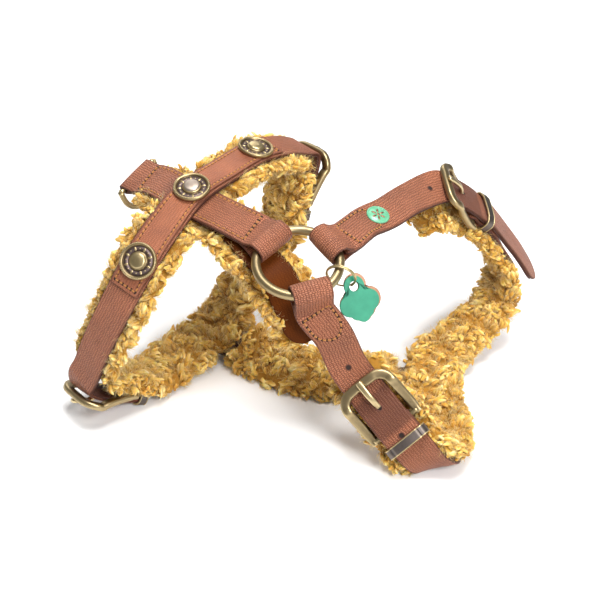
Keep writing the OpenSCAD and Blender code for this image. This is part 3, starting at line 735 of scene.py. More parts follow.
def layered_strap(name, strip, width, node, crown=CROWN, grooves=(), ends=(0, 0), inside=None):
    """A strap of an outer and an inner leather layer, darker where it runs inside the buckle named."""
    outer = band(strip, width, 0, -1.42, 0.66, crown, grooves, ends)
    if inside:
        # The edge value is raised where the strap runs inside the buckle, which darkens it there.
        gap = np.abs(outer[2][:, 0] - nearest(strip, inside.spot(9, 6)))
        outer[2][:, 2] = np.maximum(outer[2][:, 2], 0.85 * np.clip((14 - gap) / 4, 0, 1))
    add(name, outer, LEATHER, "harness", "embossed_leather", node)
    under = strip.part(0.6, strip.length - 0.6)
    inner = band(under, width - 0.5, -1.46, -STRAP_T, 0.45, 0, (), ends)
    add(name + "_back", inner, INNER, "harness", "embossed_leather")


def strap_fold(name, f, width, bar, reach, gap=0.0):
    """The end of a strap folded round a bar, split in two where a prong passes."""
    strip = fold_strip(f, bar + 0.85, reach)
    if not gap:
        add(name, band(strip, width + 0.1, 0.68, -0.68, 0.6, 0.25), LEATHER, "harness", "embossed_leather")
        return
    side = (width - gap) / 2
    for tag, sign in (("a", 1), ("b", -1)):
        half = offset_strip(strip, sign * (gap + side) / 2)
        add(name + "_" + tag, band(half, side, 0.68, -0.68, 0.45), LEATHER, "harness",
            "embossed_leather")


def rows_of(half, start, end, inset):
    """The two stitch lines along a strap's edges, as grooves for band."""
    return [(inset - half, start, end), (half - inset, start, end)]


RING_REACH = RING_FOLD * 1.9
RING_EYE = RING_WIRE + 1.63
# How far the straps run into their folds on the O ring, and the stitch lines' inset
LAP = 4.5
INSET = 2.4
OVERLAY_INSET = 3.0
NECK_GROOVE = 2.1
girth = Strip(girth_route)
back = Strip([d_bar.on(-4, HALF_T)] + back_route + [back_end.on(LAP - RING_REACH, HALF_T)])
left = Strip([left_end.on(LAP - RING_REACH, HALF_T)] + left_route)
right = Strip([right_end.on(LAP - RING_REACH, HALF_T)] + right_route)
# The points added inside the folds leave no mark
back.marks = back.marks[1:-1]
left.marks = left.marks[1:]
right.marks = right.marks[1:]
lower_neck = Strip(lower_neck_route)
lower_girth = Strip(lower_girth_route)
sternum = Strip(sternum_route)
backing = Strip(backing_route)

layered_strap("girth_top_strap", girth, GIRTH_W, "girth_strap")
overlay = girth.part(girth.marks[6] + 4, girth.marks[12] - 8)
overlay_w, overlay_crown = GIRTH_W - 2.2, 0.15
overlay_rows = rows_of(GIRTH_W / 2, 0, overlay.length + 1, OVERLAY_INSET)
add("girth_overlay_strip",
    band(overlay, overlay_w, OVERLAY_T + 0.1, 0.1, 0.4, overlay_crown, overlay_rows),
    SMOOTH, "harness", "smooth_leather", "girth_overlay")
stitched_box(overlay, INSET, overlay.length - INSET, GIRTH_W / 2 - OVERLAY_INSET,
             (OVERLAY_T - 0.05, OVERLAY_T + 0.1), overlay_w / 2, overlay_crown)
flush_stitches("girth")

back_start, back_stop = back.marks[0], back.marks[-1]
layered_strap("back_strap", back, BACK_W, "back_strap", CROWN,
              rows_of(BACK_W / 2, back_start + 2, back_stop, INSET))
strap_fold("back_strap_fold_d", d_bar, BACK_W, HEEL_R, 8)
strap_fold("back_strap_fold_o", back_end, BACK_W, RING_EYE, RING_REACH)
stitched_box(back, back_start + 2.5, back_stop - 1, BACK_W / 2 - INSET, (-0.08, 0.05), BACK_W / 2)
flush_stitches("back")

start = left.marks[0]
half = NECK_W / 2
edge_w = half - INSET
layered_strap("neck_strap_left", left, NECK_W, "neck_strap_left", CROWN,
              rows_of(half, start, start + 24, NECK_GROOVE), (0, 9), neck)
strap_fold("neck_strap_left_fold", left_end, NECK_W, RING_EYE, RING_REACH)
stitch(left, [(start + 1, -edge_w), (start + 22, -edge_w), (start + 25, 3 - edge_w),
              (start + 25, edge_w - 3), (start + 22, edge_w), (start + 1, edge_w)], 0.0, half)
stitch(left, [(start + 1, -edge_w), (start + 1, edge_w)], 0.05, half)
flush_stitches("neck_left")

start = right.marks[0]
layered_strap("neck_strap_right", right, NECK_W, "neck_strap_right", CROWN,
              rows_of(half, start, start + 12, NECK_GROOVE), (0, 0), chest)
strap_fold("neck_strap_right_fold", right_end, NECK_W, RING_EYE, RING_REACH)
u_line = [(0.5, -edge_w), (10, -edge_w), (14, 2.2 - edge_w), (16.2, 5.5 - edge_w),
          (16.2, edge_w - 5.5), (14, edge_w - 2.2), (10, edge_w), (0.5, edge_w)]
stitch(right, [(start + l, w) for l, w in u_line], 0.0, half)
stitch(right, [(start + 0.5, -edge_w), (start + 0.5, edge_w)], 0.05, half)
flush_stitches("neck_right")

punched_hole("right_upper", right, right.marks[3] - 13)
punched_hole("right_lower", right, right.marks[5] + 5.5)
punched_hole("left_upper", left, left.marks[4] - 11)
for name, strip, f in (("chest", right, chest), ("neck", left, neck), ("girth_low", girth, low),
                       ("girth_high", girth, high)):
    punched_hole(name, strip, nearest(strip, f.spot(12.5, 6)), 1.35, 1.5)
add("punched_holes", join(hole_parts), HOLE_SHADE, "harness", "embossed_leather", recalc=False)
hole_parts.clear()

for name, strip, width, node, ends in (
        ("lower_neck_strap", lower_neck, NECK_W, "lower_neck_strap", (chest, neck)),
        ("lower_girth_strap", lower_girth, GIRTH_W, "lower_girth_strap", (low, high))):
    layered_strap(name, strip, width, node)
    for tag, f in zip(("start", "end"), ends):
        strap_fold(name + "_fold_" + tag, f, width, HEEL_R, 7, gap=3.8)
layered_strap("sternum_strap", sternum, NECK_W, "sternum_strap", 0.2, (), (0, 6))
add("ring_backing_tongue", band(backing, NECK_W - 2, 0, -1.6, 0.5, 0.2, (), (0, 9)), FLESH, "harness",
    "flesh_leather", "ring_backing")

# ---- Fleece ----


def plush_outline(h, t):
    """Closed, smooth section of a lining: points (across, outward)."""
    corners = np.array([(-h, -0.4 * t), (-0.86 * h, -0.82 * t), (-0.5 * h, -t), (0.5 * h, -t),
                        (0.86 * h, -0.82 * t), (h, -0.4 * t), (0.92 * h, -0.02 * t),
                        (-0.92 * h, -0.02 * t)])
    fine = []
    for i in range(8):
        a, b, c, d = (corners[(i + k) % 8] for k in (-1, 0, 1, 2))
        for t_now in np.linspace(0, 1, 8, endpoint=False):
            fine.append(curve([a, b, c, d], 1, t_now))
    fine = np.array(fine + fine[:1])
    run = np.concatenate([[0], np.cumsum(np.linalg.norm(np.diff(fine, axis=0), axis=1))])
    even = np.linspace(0, run[-1], 36, endpoint=False)
    return np.stack([np.interp(even, run, fine[:, k]) for k in range(2)], 1)


# A lock's rings from root to tip and sides, how wide each ring is, and its two ridge heights
RINGS, SIDES = 6, 6
SWELL = [0.7, 0.98, 1.05, 1.02, 0.9, 0.66]
RIDGES = (0.85, 1.15)
LOCK_LONG, LOCK_THICK = (5.2, 7.4), (0.8, 1.3)
HAIR_LONG, HAIR_THICK = (3.0, 5.8), 0.075
# Locks in a tuft, and hairs by each lock
TUFT, HAIRS = 8, 8


def curl_shape(start, end):
    """A lock of pile that bends over: its middle line and its leaf-like section offsets."""
    angles = np.linspace(start, end, RINGS + 1)
    x = np.concatenate([[0], np.cumsum(np.sin(angles[:-1]))]) / RINGS
    z = np.concatenate([[0], np.cumsum(np.cos(angles[:-1]))]) / RINGS
    middle, offset, height = [], [], []
    for i in range(RINGS):
        for k in range(SIDES):
            a = TAU * k / SIDES
            ridge = SWELL[i] * RIDGES[k % 2]
            thin = 0.78 * math.cos(a) * ridge
            middle.append((x[i], z[i]))
            offset.append((thin * math.cos(angles[i]), math.sin(a) * 1.1 * ridge,
                           -thin * math.sin(angles[i])))
            height.append(i / RINGS)
    middle.append((x[-1], z[-1]))
    offset.append((0, 0, 0))
    height.append(1.0)
    tip = RINGS * SIDES
    tips = [[tip - SIDES + k, tip - SIDES + (k + 1) % SIDES, tip] for k in range(SIDES)]
    return np.array(middle), np.array(offset), np.array(height), grid_faces(RINGS, SIDES), tips


# How far each lock leans from upright at its root and at its tip
CURLS = [curl_shape(0.3, 2.3), curl_shape(0.7, 2.1), curl_shape(0.5, 1.8), curl_shape(0.1, 2.9),
         curl_shape(0.9, 2.5)]


def locks(places, outs, sides, sizes, thick, tone):
    """Many curled locks that lie over to their sides: points, faces and a shade per point."""
    side = flat_on(outs, sides)
    other = np.cross(outs, side)
    kind = rng.integers(0, len(CURLS), len(places))
    points, faces, shades, base = [], [], [], 0
    for k, (middle, offset, height, quads, tips) in enumerate(CURLS):
        own = kind == k
        n = int(own.sum())
        axes = [a[own][:, None, :] for a in (side, other, outs)]
        length = sizes[own][:, None, None]
        radius = thick[own][:, None, None]
        wave = np.sin(4.5 * height[None, :, None] + rng.uniform(0, TAU, (n, 1, 1)))
        sway = 0.09 * length * wave * height[None, :, None]
        cloud = (places[own][:, None, :]
                 + length * (middle[None, :, :1] * axes[0] + middle[None, :, 1:] * axes[2])
                 + sway * axes[1]
                 + radius * (offset[None, :, :1] * axes[0] + offset[None, :, 1:2] * axes[1]
                             + offset[None, :, 2:] * axes[2]))
        points.append(cloud.reshape(-1, 3))
        strand = np.concatenate([np.tile(rng.normal(0, 0.13, (n, SIDES)), (1, RINGS)),
                                 np.zeros((n, 1))], 1)
        # Painted shade at each lock's root and a painted highlight at its tip come from height; strand adds
        # streaks of the pile's own colour.
        shade = 0.24 + 0.6 * height[None, :] + tone[own][:, None] + strand
        shades.append(shade.ravel())
        starts = base + np.arange(n)[:, None, None] * len(middle)
        for shape in (quads, tips):
            faces += (starts + np.array(shape)[None]).reshape(-1, len(shape[0])).tolist()
        base += n * len(middle)
    return np.concatenate(points), faces, np.concatenate(shades)


def flat_on(outs, sides):
    """Unit directions: the sides with their part along the normals taken away."""
    side = sides - outs * (sides * outs).sum(1)[:, None]
    return side / np.linalg.norm(side, axis=1)[:, None]


def pressed(points):
    """Points with all that would reach below the floor pressed flat on it."""
    below = np.minimum(points[:, 2] + STAND[2], 0)
    return points - np.array([0, 0, 0.95]) * below[:, None]


def pad_surface(strip):
    """The rings of a pad, their outward normals, and where each point is across and out."""
    squeeze = np.minimum(1, 0.5 / np.maximum(strip.bend() * LINING_T, 1e-6))
    gap = np.minimum(strip.l, strip.length - strip.l)
    taper = 0.85 + 0.15 * np.sqrt(np.clip(gap / 5, 0, 1))
    outline = plush_outline(LINING_W / 2 - 1.3, LINING_T - 1.9)
    across = outline[None, :, 0] * taper[:, None]
    out = outline[None, :, 1] * (taper * squeeze)[:, None]
    rings = (strip.p[:, None] + strip.t[:, None] * across[..., None]
             + strip.n[:, None] * out[..., None])
    around = np.roll(rings, -1, 1) - np.roll(rings, 1, 1)
    normal = np.cross(around, strip.s[:, None])
    normal /= np.linalg.norm(normal, axis=2)[..., None]
    normal *= np.sign(((rings - rings.mean(1)[:, None]) * normal).sum(2))[..., None]
    return rings, normal, across, out


def fleece(name, node, strip, covered, spacing, loose, bare):
    """A curly lining: a lumpy pad with tufts of curled locks all over it and loose hairs.

    covered is the half width of the strap on it, where no pile shows. loose is the length at
    its end that no strap covers. bare is the side, 1 or -1, where the pile gets short."""
    rings, normal, across, out = pad_surface(strip)
    columns = rings.shape[1]
    lumps = rng.normal(0, 0.35, rings.shape[:2])
    lumps = (lumps + np.roll(lumps, 1, 0) + np.roll(lumps, 1, 1)) / 1.7
    base_points, base_faces = capped(rings + normal * lumps[..., None])

    # Places for the locks, at random over the pad, without those under the strap
    area = (2 * LINING_T + LINING_W + 4) * strip.length
    count = int(area / (spacing * spacing))
    l = rng.uniform(0, strip.length, count * 2)
    k = rng.uniform(0, columns, count * 2)
    row = np.interp(l, strip.l, np.arange(len(strip.l)))
    i0, j0 = row.astype(int), k.astype(int) % columns
    i1, j1 = np.minimum(i0 + 1, len(strip.l) - 1), (j0 + 1) % columns
    u, v = (row - i0)[:, None], (k % 1)[:, None]
    places = ((1 - u) * (1 - v) * rings[i0, j0] + u * (1 - v) * rings[i1, j0]
              + (1 - u) * v * rings[i0, j1] + u * v * rings[i1, j1])
    outs = (1 - v) * normal[i0, j0] + v * normal[i0, j1]
    near_end = np.minimum(l, strip.length - l) < 3
    outs += (strip.s[i0] * np.where(l < 3, -1, 1)[:, None]) * near_end[:, None]
    outs /= np.linalg.norm(outs, axis=1)[:, None]
    top, wide = ((1 - v[:, 0]) * a[i0, j0] + v[:, 0] * a[i0, j1] for a in (out, across))
    hidden = (top > -0.9) & (np.abs(wide) < covered) & (l < strip.length - loose)
    keep = np.flatnonzero(~hidden)[:count]
    count = len(keep)
    places, outs = places[keep], outs[keep]
    along, around = l[keep], TAU * k[keep] / columns

    # Each lock leans the way of its tuft, and in towards the tuft's middle
    phase = rng.uniform(0, TAU, 3)
    lay = (2.4 * np.sin(0.2 * along + 1.4 * np.sin(2 * around + phase[0]) + phase[1])
           + 1.3 * np.sin(0.5 * along + around + phase[2]) + rng.normal(0, 0.5, count))
    centre = rng.choice(count, count // TUFT, replace=False)
    apart = np.linalg.norm(places[:, None] - places[centre][None], axis=2)
    tuft = centre[np.argmin(apart, axis=1)]
    inward = places[tuft] - places
    reach = np.linalg.norm(inward, axis=1)
    flow = lay[tuft] + rng.normal(0, 0.2, count)
    ahead = strip.s[i0[keep]]
    sides = (ahead * np.cos(flow)[:, None] + np.cross(outs, ahead) * np.sin(flow)[:, None]
             + 0.22 * inward)
    rim = top[keep] > -1.2
    sizes = rng.uniform(*LOCK_LONG, count) * np.where(rim, 0.85, 1.0) * (1.16 - 0.08 * reach)
    short = np.clip((along / strip.length - 0.25) / 0.3, 0, 1) * (bare * wide[keep] > 0)
    sizes *= 1 - 0.6 * short
    thick = rng.uniform(*LOCK_THICK, count)
    # Tone varies at random by lock and by tuft, and falls with the distance from the tuft's middle: painted
    # shade in the gaps between tufts.
    tone = (rng.normal(0.0, 0.06, count) + rng.normal(0.0, 0.06, count)[tuft]
            + 0.12 - 0.06 * reach)
    points, faces, shades = locks(places - outs * 0.6, outs, sides, sizes, thick, tone)

    shift = len(base_points)
    faces = base_faces + [[i + shift for i in face] for face in faces]
    points = pressed(np.concatenate([base_points, points]))
    # The pad under the locks gets a low shade value: painted shade deep in the pile.
    shades = np.concatenate([np.full(shift, 0.15), shades])
    pad = add(name, (points, faces), FLEECE, "harness", "fleece", node, recalc=False, shade=shades)
    hairs(name + "_hairs", *(np.repeat(a, HAIRS, 0) for a in (places, outs, sides)))


def hairs(name, places, outs, sides):
    """Fine loose hairs that stand out of the pile."""
    count = len(places)
    side = flat_on(outs, sides + rng.normal(0, 0.7, (count, 3)))
    other = np.cross(outs, side)
    length = rng.uniform(*HAIR_LONG, (count, 1))
    bend = rng.uniform(0.4, 1.3, (count, 1))
    start = places + rng.normal(0, 0.8, (count, 3))
    rows = []
    for u, thick in ((0.0, HAIR_THICK), (0.55, 0.8 * HAIR_THICK), (1.0, 0.0)):
        middle = start + outs * length * (u - 0.25 * bend * u * u) + side * length * bend * u * u * 0.8
        if thick:
            rows += [middle + thick * (math.cos(a) * side + math.sin(a) * other)
                     for a in (0, TAU / 3, 2 * TAU / 3)]
        else:
            rows.append(middle)
    points = pressed(np.stack(rows, 1).reshape(-1, 3))
    quads = np.array([[j, (j + 1) % 3, 3 + (j + 1) % 3, 3 + j] for j in range(3)])
    tips = np.array([[3 + j, 3 + (j + 1) % 3, 6] for j in range(3)])
    starts = np.arange(count)[:, None, None] * 7
    faces = (starts + quads).reshape(-1, 4).tolist() + (starts + tips).reshape(-1, 3).tolist()
    # Darker at each hair's root and paler at its tip: painted shade and painted highlight, as on the locks.
    shade = np.tile([0.55] * 3 + [0.8] * 3 + [1.0], count)
    add(name, (points, faces), FLEECE, "harness", "fleece", recalc=False, shade=shade)


def deeper(points, depth):
    """Route points of the strap with the lining's top that far under them."""
    return points, [depth] * len(points)


def lining(name, node, covered, *groups, loose=0.0, bare=0, spacing=2.15):
    """A fleece along groups of (points, depths)."""
    route = [p for points, _ in groups for p in points]
    depths = [d for _, depth in groups for d in depth]
    fleece(name, node, Strip(route, depths), covered, spacing, loose, bare)


under_girth = UNDER_STRAP + 0.4
lining("fleece_girth_rear", "girth_lining_rear", GIRTH_W / 2 - 1, deeper([
    pt([1, 61.5, 109], [0.5, 0.2, 0.7]), girth_route[6], girth_route[7],
    pt([-36, 20, 118.2], [-0.1, -0.38, 1]), pt([-44, 10, 117.6], [-0.1, -0.4, 1])], under_girth))
lining("fleece_girth_front", "girth_lining_front", GIRTH_W / 2 - 1, deeper([
    pt([-65.5, -18, 107.7], [-0.15, -0.66, 0.8]), girth_route[11], girth_route[12],
    girth_route[13], pt([-110, -46, 34], [-0.6, -0.68, 0])], under_girth), bare=1)
lining("fleece_back", "back_lining", NECK_W / 2 - 2,
       deeper([d_bar.on(-10, HALF_T), back_route[1], back_route[2]], UNDER_STRAP + 0.2),
       deeper(backing_route, 2.5))
lining("fleece_lower_neck", "lower_neck_lining", NECK_W / 2 - 1,
       deeper([chest.on(34, 1.8), chest.on(20, HALF_T), chest.on(6, HALF_T),
               chest.on(-6, HALF_T), chest.on(-15, HALF_T)], UNDER_BUCKLE),
       deeper(lower_neck_middle, UNDER_STRAP + 0.5),
       deeper([neck.on(-12.5, HALF_T), neck.on(-6, HALF_T), neck.on(6, 0.8)], UNDER_BUCKLE),
       ([pt([74, 31, 93], [0.2, -0.3, 0.95]), pt([61, 22.5, 89.5], [-0.1, -0.4, 0.9])], [4, 7]),
       loose=24, spacing=2.5)
lining("fleece_lower_girth", "lower_girth_lining", GIRTH_W / 2 - 1,
       deeper([low.on(19, 0.5), low.on(6, HALF_T), low.on(-6, HALF_T), low.on(-12.5, HALF_T)],
              UNDER_BUCKLE),
       deeper(lower_girth_middle, UNDER_STRAP),
       deeper([high.on(-12.5, HALF_T), high.on(-6, HALF_T), high.on(6, HALF_T),
               high.on(16, HALF_T)], UNDER_BUCKLE))
lining("fleece_sternum", "sternum_lining", NECK_W / 2 - 1,
       deeper([pt([-31, 15.5, 4], [0.25, 0.3, -0.9])] + sternum_middle
              + [pt([53, -12.5, 1.8], [0, 0.1, -1])], UNDER_STRAP))

# ---- Ornaments ----

RIM_BEADS, LEAVES, LEAF_RING = 52, 8, 6.3

def concho(tag, l, middle):
    """A round stud: a cupped plate, a beaded rim, eight small leaves and a rivet head."""
    f = girth.frame(l)
    f.o = f.o + f.n * (OVERLAY_T + 0.25)
    plate = round_profile([(0, 0.2), (8.9, 0.0), (9.6, 0.5), (9.55, 1.6), (8.9, 2.2), (8.1, 2.0),
                           (7.7, 1.15), (4.9, 1.05), (4.6, 1.9), (4.0, 2.0), (0, 1.8)], 0.35)
    points, faces = lathe(plate, 96)
    parts = [(f.place(points), faces)]
    bead, bead_faces = dome(0.3, 0.3, 4, 8)
    for a in np.arange(RIM_BEADS) * TAU / RIM_BEADS:
        parts.append((f.place(bead + [9.0 * math.cos(a), 9.0 * math.sin(a), 2.02]), bead_faces))
    add("concho_plate_" + tag, join(parts), BRASS, "harness", "antique_brass", "concho_plate_" + tag)
    ring_points, ring_faces = lathe([(4.9, 1.06), (4.9, 1.12), (7.7, 1.22), (7.7, 1.16)], 64)
    add("concho_recess_" + tag, (f.place(ring_points), ring_faces[:-2]), RECESS, "harness",
        "antique_brass", recalc=False)
    leaves = []
    leaf, leaf_faces = dome(1.0, 0.42, 5, 12)
    shaped = leaf * [1.15, 0.62, 1.0] + [LEAF_RING, 0, 1.1]
    for a in np.arange(LEAVES) * TAU / LEAVES:
        leaves.append((f.place(turned(shaped, a)), leaf_faces))
        between = a + TAU / LEAVES / 2
        small = bead * 1.2 + [LEAF_RING * math.cos(between), LEAF_RING * math.sin(between), 1.1]
        leaves.append((f.place(small), bead_faces))
    add("concho_leaves_" + tag, join(leaves), BRASS, "harness", "antique_brass")
    stud = round_profile([(0, 1.7), (4.15, 1.7), (4.2, 2.3), (3.6, 2.95), (1.6, 3.3), (0, 3.35)], 0.4)
    points, faces = lathe(stud, 64)
    add("concho_stud_" + tag, (f.place(points), faces), middle, "harness", "polished_brass",
        "concho_stud_" + tag)


concho("rear", girth.marks[7], BRIGHT)
concho("centre", girth.marks[9], SILVER)
concho("front", girth.marks[11], BRIGHT)

badge_l = left.marks[1] + 0.6 * (left.marks[2] - left.marks[1])
badge_f = left.frame(badge_l)
points, faces = lathe(round_profile([(0, 0.1), (5.9, 0.1), (6.2, 0.6), (5.95, 1.2), (5.4, 1.35),
                                     (5.1, 0.95), (4.9, 0.92)], 0.2), 64)
add("badge_rim", (badge_f.place(points), faces), BADGE, "harness", "badge_enamel", "badge")
points, faces = lathe([(0, 0.85), (5.05, 0.85), (4.9, 1.0), (0, 1.12)], 48)
add("badge_face", (badge_f.place(points), faces), BADGE, "harness", "badge_enamel")
relief = []
leaf, leaf_faces = dome(1.0, 0.4, 5, 12)
petal = leaf * [1.45, 0.62, 1.0] + [2.5, 0, 1.05]
for k in range(6):
    relief.append((badge_f.place(turned(petal, TAU * k / 6)), leaf_faces))
relief.append((badge_f.place(leaf * [0.9, 0.9, 1.2] + [0, 0, 1.08]), leaf_faces))
add("badge_relief", join(relief), COPPER, "harness", "badge_enamel")

# ---- Rings and tag ----

points, faces = torus(RING_R, RING_WIRE, 160, 28, 0.012)
add("o_ring", (ring.place(points), faces), BRASS, "o_ring", "antique_brass", "o_ring")

# The D ring hangs from its bar: a half circle of wire under two short straight legs
d_half, d_drop, D_WIRE = BACK_W / 2 + 2.1, 5.0, 1.6
hang = np.cross(d_bar.t, unit(np.cross(d_bar.t, [0, 0, 1])))
down = hang * -np.sign(hang[2])
d_normal = unit(np.cross(down, d_bar.t))


def d_spot(fall, across):
    return d_bar.o + down * fall + d_bar.t * across


bow = [d_spot(0, d_half), d_spot(d_drop, d_half)]
bow += [d_spot(d_drop + d_half * math.sin(a), d_half * math.cos(a))
        for a in np.radians([20, 40, 60, 80, 100, 120, 140, 160])]
bow += [d_spot(d_drop, -d_half), d_spot(0, -d_half)]
bow_part = rod([(p, d_normal) for p in bow], superellipse(D_WIRE, D_WIRE, 20), step=0.6)
bar_line = [(d_spot(0, x), d_normal) for x in np.linspace(-d_half, d_half, 8)]
add("d_ring", join([bow_part, rod(bar_line, superellipse(HEEL_R, HEEL_R, 20), step=0.8)]), BRASS, "d_ring",
    "antique_brass", "d_ring")

SPLIT_R, SPLIT_WIRE = 7.4, 0.9
split_in = ring_at(-15, RING_R)
split_axis = unit(math.sin(math.radians(15)) * RING_X + math.cos(math.radians(15)) * RING_Y)
hang_way = np.array([0.3, 0.25, -0.92])
split_f = Frame(split_in, hang_way - split_axis * (split_axis @ hang_way), split_axis)
split_c = split_f.spot(SPLIT_R - SPLIT_WIRE - RING_WIRE - 0.25, 0)
split_side = split_f.t * np.sign(split_f.t[0])
# Nearly two turns of wire, one beside the other
SPLIT_PITCH = 0.86
coil = []
for a in np.radians(np.arange(-330, 331, 15)):
    out = math.cos(a) * split_f.s + math.sin(a) * split_side
    coil.append((split_c + out * SPLIT_R + split_f.n * (a / TAU * SPLIT_PITCH), out))
add("split_ring", rod(coil, superellipse(0.46, 0.5, 12), step=0.5), BRASS, "split_ring",
    "polished_brass", "split_ring")

TAG_TURN, TAG_HOLE, TAG_BEVEL, TAG_POINTS = math.radians(37), 2.5, 0.28, 140
tag_in = split_c + SPLIT_R * (math.cos(TAG_TURN) * split_f.s + math.sin(TAG_TURN) * split_side)
tag_f = Frame(tag_in, [0.32, -0.4, -0.85], [0.25, -0.75, 0.6])
tag_f.o = tag_f.spot(1.3, 0)


def trefoil(grow):
    """Outline of three round lobes and a foot, seen from the middle between them."""
    lobes = [(0, 0, 5.4), (8.8, -5.2, 5.5), (8.8, 5.2, 5.5), (5.5, 0, 5.0), (12.8, -2.2, 4.3),
             (12.8, 2.2, 4.3), (15.3, 0, 3.4)]
    middle = np.array([6.8, 0.0])
    outline = []
    for a in np.arange(TAG_POINTS) * TAU / TAG_POINTS:
        way = np.array([math.cos(a), math.sin(a)])
        reach = 0.0
        for x, y, r in lobes:
            rel = np.array([x, y]) - middle
            along = rel @ way
            rest = (r + grow) ** 2 - (rel @ rel - along * along)
            if rest > 0:
                reach = max(reach, along + math.sqrt(rest))
        outline.append(middle + way * reach)
    outline = np.array(outline)
    return (np.roll(outline, 1, 0) + 2 * outline + np.roll(outline, -1, 0)) / 4


def tag_layer(low_n, high_n, grow, shift=(0, 0)):
    """A plate with a hole and rounded edges."""
    bevel = TAG_BEVEL
    outer = trefoil(grow) + shift
    middle = outer.mean(0)
    angles = [math.atan2(*(p - middle)[::-1]) for p in outer]
    hole = TAG_HOLE * np.stack([np.cos(angles), np.sin(angles)], 1)

    def loop(edge, n, inset):
        line = hole if edge == "hole" else outer
        centre = np.zeros(2) if edge == "hole" else middle
        rel = line - centre
        size = np.linalg.norm(rel, axis=1)[:, None]
        line = centre + rel * (size + (inset if edge == "hole" else -inset)) / size
        return np.column_stack([line, np.full(TAG_POINTS, n)])

    rings = [loop("outer", low_n, bevel), loop("outer", low_n + bevel, 0),
             loop("outer", high_n - bevel, 0), loop("outer", high_n - bevel * 0.3, bevel * 0.35),
             loop("outer", high_n, bevel), loop("hole", high_n, bevel * 0.7),
             loop("hole", high_n - bevel, 0), loop("hole", low_n + bevel, 0),
             loop("hole", low_n, bevel * 0.7)]
    return tag_f.place(np.concatenate(rings)), looped_faces(len(rings), TAG_POINTS)


add("tag_plate", tag_layer(-1.1, 0.0, 0.5, shift=(-0.5, 1.0)), COPPER, "tag", "copper_plate",
    "tag_plate", smooth=False)
add("tag_enamel", tag_layer(0.03, 1.12, 0.0), ENAMEL, "tag", "enamel", "tag_enamel", smooth=False)

# ---- Buckles ----

# The prong's middle line, as (along, outward) in its buckle's frame
PRONG_LINE = [(0.6, 1.4), (4, 2.0), (8, 3.2), (11, 4.7), (13.5, 6.9), (16, 8.9), (19, 10.0),
              (23, 10.6), (27.8, 10.8)]
# How far the outer face of each keeper swells
KEEPER_BULGE = {"chest": 1.7, "neck": 0.9, "girth_low": 0.0, "girth_high": 0.9}
KEEPER_AT, KEEPER_HALF = -9.6, 2.5


def buckle(tag, f):
    """A buckle frame with flat faces and rounded corners, and its heel bar."""
    side = [(-1.6, -0.3), (3, 0.2), (9, 2.2), (16, 5.2)]
    corner = 7.0
    half = [(s, n, BUCKLE_HALF) for s, n in side]
    for a in np.radians([0, 22.5, 45, 67.5, 90]):
        half.append((BUCKLE_LEN - corner + corner * math.sin(a), BAR_RISE - 0.7 * math.cos(a),
                     BUCKLE_HALF - corner + corner * math.cos(a)))
    path = half + [(BUCKLE_LEN + 0.25, BAR_RISE, 0)] + [(s, n, -t) for s, n, t in reversed(half)]
    route = [(f.spot(s, n, t), f.n) for s, n, t in path]

    def scale(u):
        end = min(u, 1 - u)
        k = min(1, 0.72 + end * 4)
        return k, k

    bar = rod(route, superellipse(2.5, 1.85, 24, 3.2), scale, step=0.6)
    heel = [(f.spot(0, 0, t), f.n) for t in np.linspace(-BUCKLE_HALF, BUCKLE_HALF, 8)]
    add("buckle_" + tag, join([bar, rod(heel, superellipse(HEEL_R, HEEL_R, 20))]), BRASS,
        "buckle_" + tag, "antique_brass", "buckle_" + tag)


def prong(tag, f):
    """A tapering tongue with an eye rolled round the heel bar."""
    def taper(u):
        k = 0.75 + 0.35 * u
        return (k if u < 0.97 else k * 0.85, 1.1 - 0.2 * u)

    blade = rod([(f.spot(s, n), f.n) for s, n in PRONG_LINE], superellipse(1.6, 1.0, 16, 3.0), taper,
                step=0.5)
    eye = []
    for a in np.radians(np.arange(-40, 281, 20)):
        out = -math.cos(a) * f.s + math.sin(a) * f.n
        eye.append((f.o + out * (HEEL_R + 0.75), out))
    add("prong_" + tag, join([blade, rod(eye, superellipse(1.4, 0.62, 16, 3.0), step=0.4)]), BRIGHT,
        "prong_" + tag, "polished_brass", "prong_" + tag)


def keeper(tag, f, w, bulge):
    """A bent metal band round the strap and its end, with a raised brass rim on both edges."""
    half, low_n, high_n, r = w / 2 + 1.5, -HALF_T - 1.3, 6.7, 3.3
    loop = []
    for cx, cy, start in ((half - r, high_n - r, 90), (half - r, low_n + r, 0),
                          (-half + r, low_n + r, -90), (-half + r, high_n - r, -180)):
        for a in np.radians([start, start - 30, start - 60, start - 90]):
            loop.append((cx + r * math.cos(a), cy + r * math.sin(a), math.cos(a), math.sin(a)))
    flat = half - r - 0.8
    top = [(t, high_n + bulge * (1 - (t / half) ** 2), t * 0.04, 1) for t in np.linspace(-flat, flat, 7)]
    base = [(t, low_n - 0.3 * (1 - (t / half) ** 2), 0, -1) for t in np.linspace(flat, -flat, 7)]
    line = top + loop[:8] + base + loop[8:] + top[:1]
    route = [(f.spot(KEEPER_AT, n, t), f.t * x + f.n * y) for t, n, x, y in line]
    add("keeper_" + tag, rod(route, superellipse(KEEPER_HALF, 0.5, 24, 4.0), step=0.5, closed=True),
        DARK_BRASS, "keeper_" + tag, "dark_brass", "keeper_" + tag)
    rims = [rod([(p + f.s * side, out) for p, out in route], superellipse(0.38, 0.62, 12), step=0.5,
                closed=True) for side in (-KEEPER_HALF + 0.2, KEEPER_HALF - 0.2)]
    add("keeper_rims_" + tag, join(rims), BRASS, "keeper_" + tag, "dark_brass")


for tag, (f, w) in BUCKLES.items():
    buckle(tag, f)
    prong(tag, f)
    keeper(tag, f, w, KEEPER_BULGE[tag])

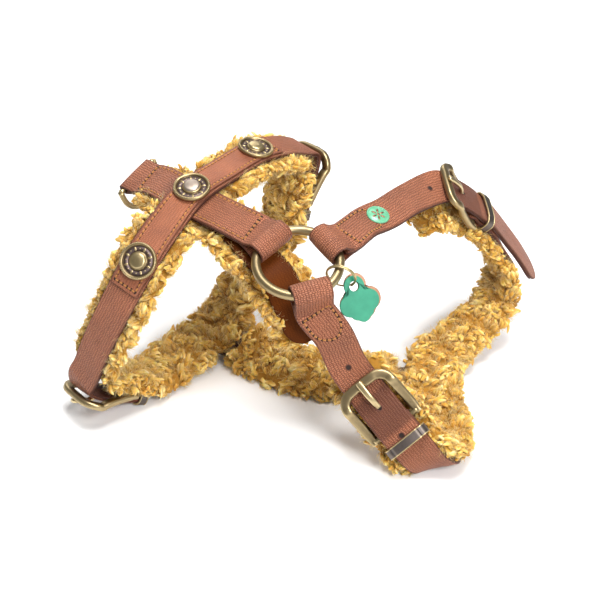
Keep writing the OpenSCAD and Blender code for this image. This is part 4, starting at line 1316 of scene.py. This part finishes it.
# ---- Floor, light and camera ----

FLOOR_HALF = 4.0
floor_mesh = bpy.data.meshes.new("floor")
floor_mesh.from_pydata([(FLOOR_HALF * x, FLOOR_HALF * y, 0) for x, y in ((-1, -1), (1, -1), (1, 1), (-1, 1))],
                       [], [(0, 1, 2, 3)])
floor_mesh.materials.append(plain("floor", (0.93, 0.93, 0.93), (0.91, 0.91, 0.91), 0.85, 3.0, 0.0))
floor = bpy.data.objects.new("floor", floor_mesh)
bpy.context.scene.collection.objects.link(floor)

world = bpy.data.worlds.new("studio")
bpy.context.scene.world = world
world.use_nodes = True
sky = world.node_tree.nodes["Background"].inputs
sky["Color"].default_value = (1, 1, 1, 1)
sky["Strength"].default_value = 0.32


def area_light(name, place, aim, size, power):
    """A round soft light that points at aim."""
    light = bpy.data.lights.new(name, "AREA")
    light.shape = "DISK"
    light.size = size
    light.energy = power
    lamp = bpy.data.objects.new(name, light)
    bpy.context.scene.collection.objects.link(lamp)
    aim_at(lamp, place, aim)


def aim_at(obj, place, aim):
    obj.location = Vector(place)
    obj.rotation_euler = (Vector(aim) - Vector(place)).to_track_quat("-Z", "Y").to_euler()


area_light("top", (0.1, -0.1, 1.1), (0, 0, 0), 0.6, 14)
area_light("key", (0.45, -0.8, 0.75), (0, 0, 0.05), 0.35, 11)
area_light("back", (-0.2, 0.9, 0.7), (0, 0, 0.05), 0.8, 4)

CAMERA_TILT, CAMERA_FAR = math.radians(32), 0.7
target = (np.array([0, 0, 47.0]) + STAND) * 0.001
camera_data = bpy.data.cameras.new("camera")
camera = bpy.data.objects.new("camera", camera_data)
bpy.context.scene.collection.objects.link(camera)
bpy.context.scene.camera = camera
camera_data.lens = 77.7
camera_data.sensor_width = 36.0
camera_data.clip_start = 0.01
eye = target + CAMERA_FAR * np.array([0, -math.cos(CAMERA_TILT), math.sin(CAMERA_TILT)])
aim_at(camera, eye, target)

bpy.context.scene.view_settings.view_transform = "Standard"
bpy.context.scene.view_settings.look = "None"

bpy.context.view_layer.update()
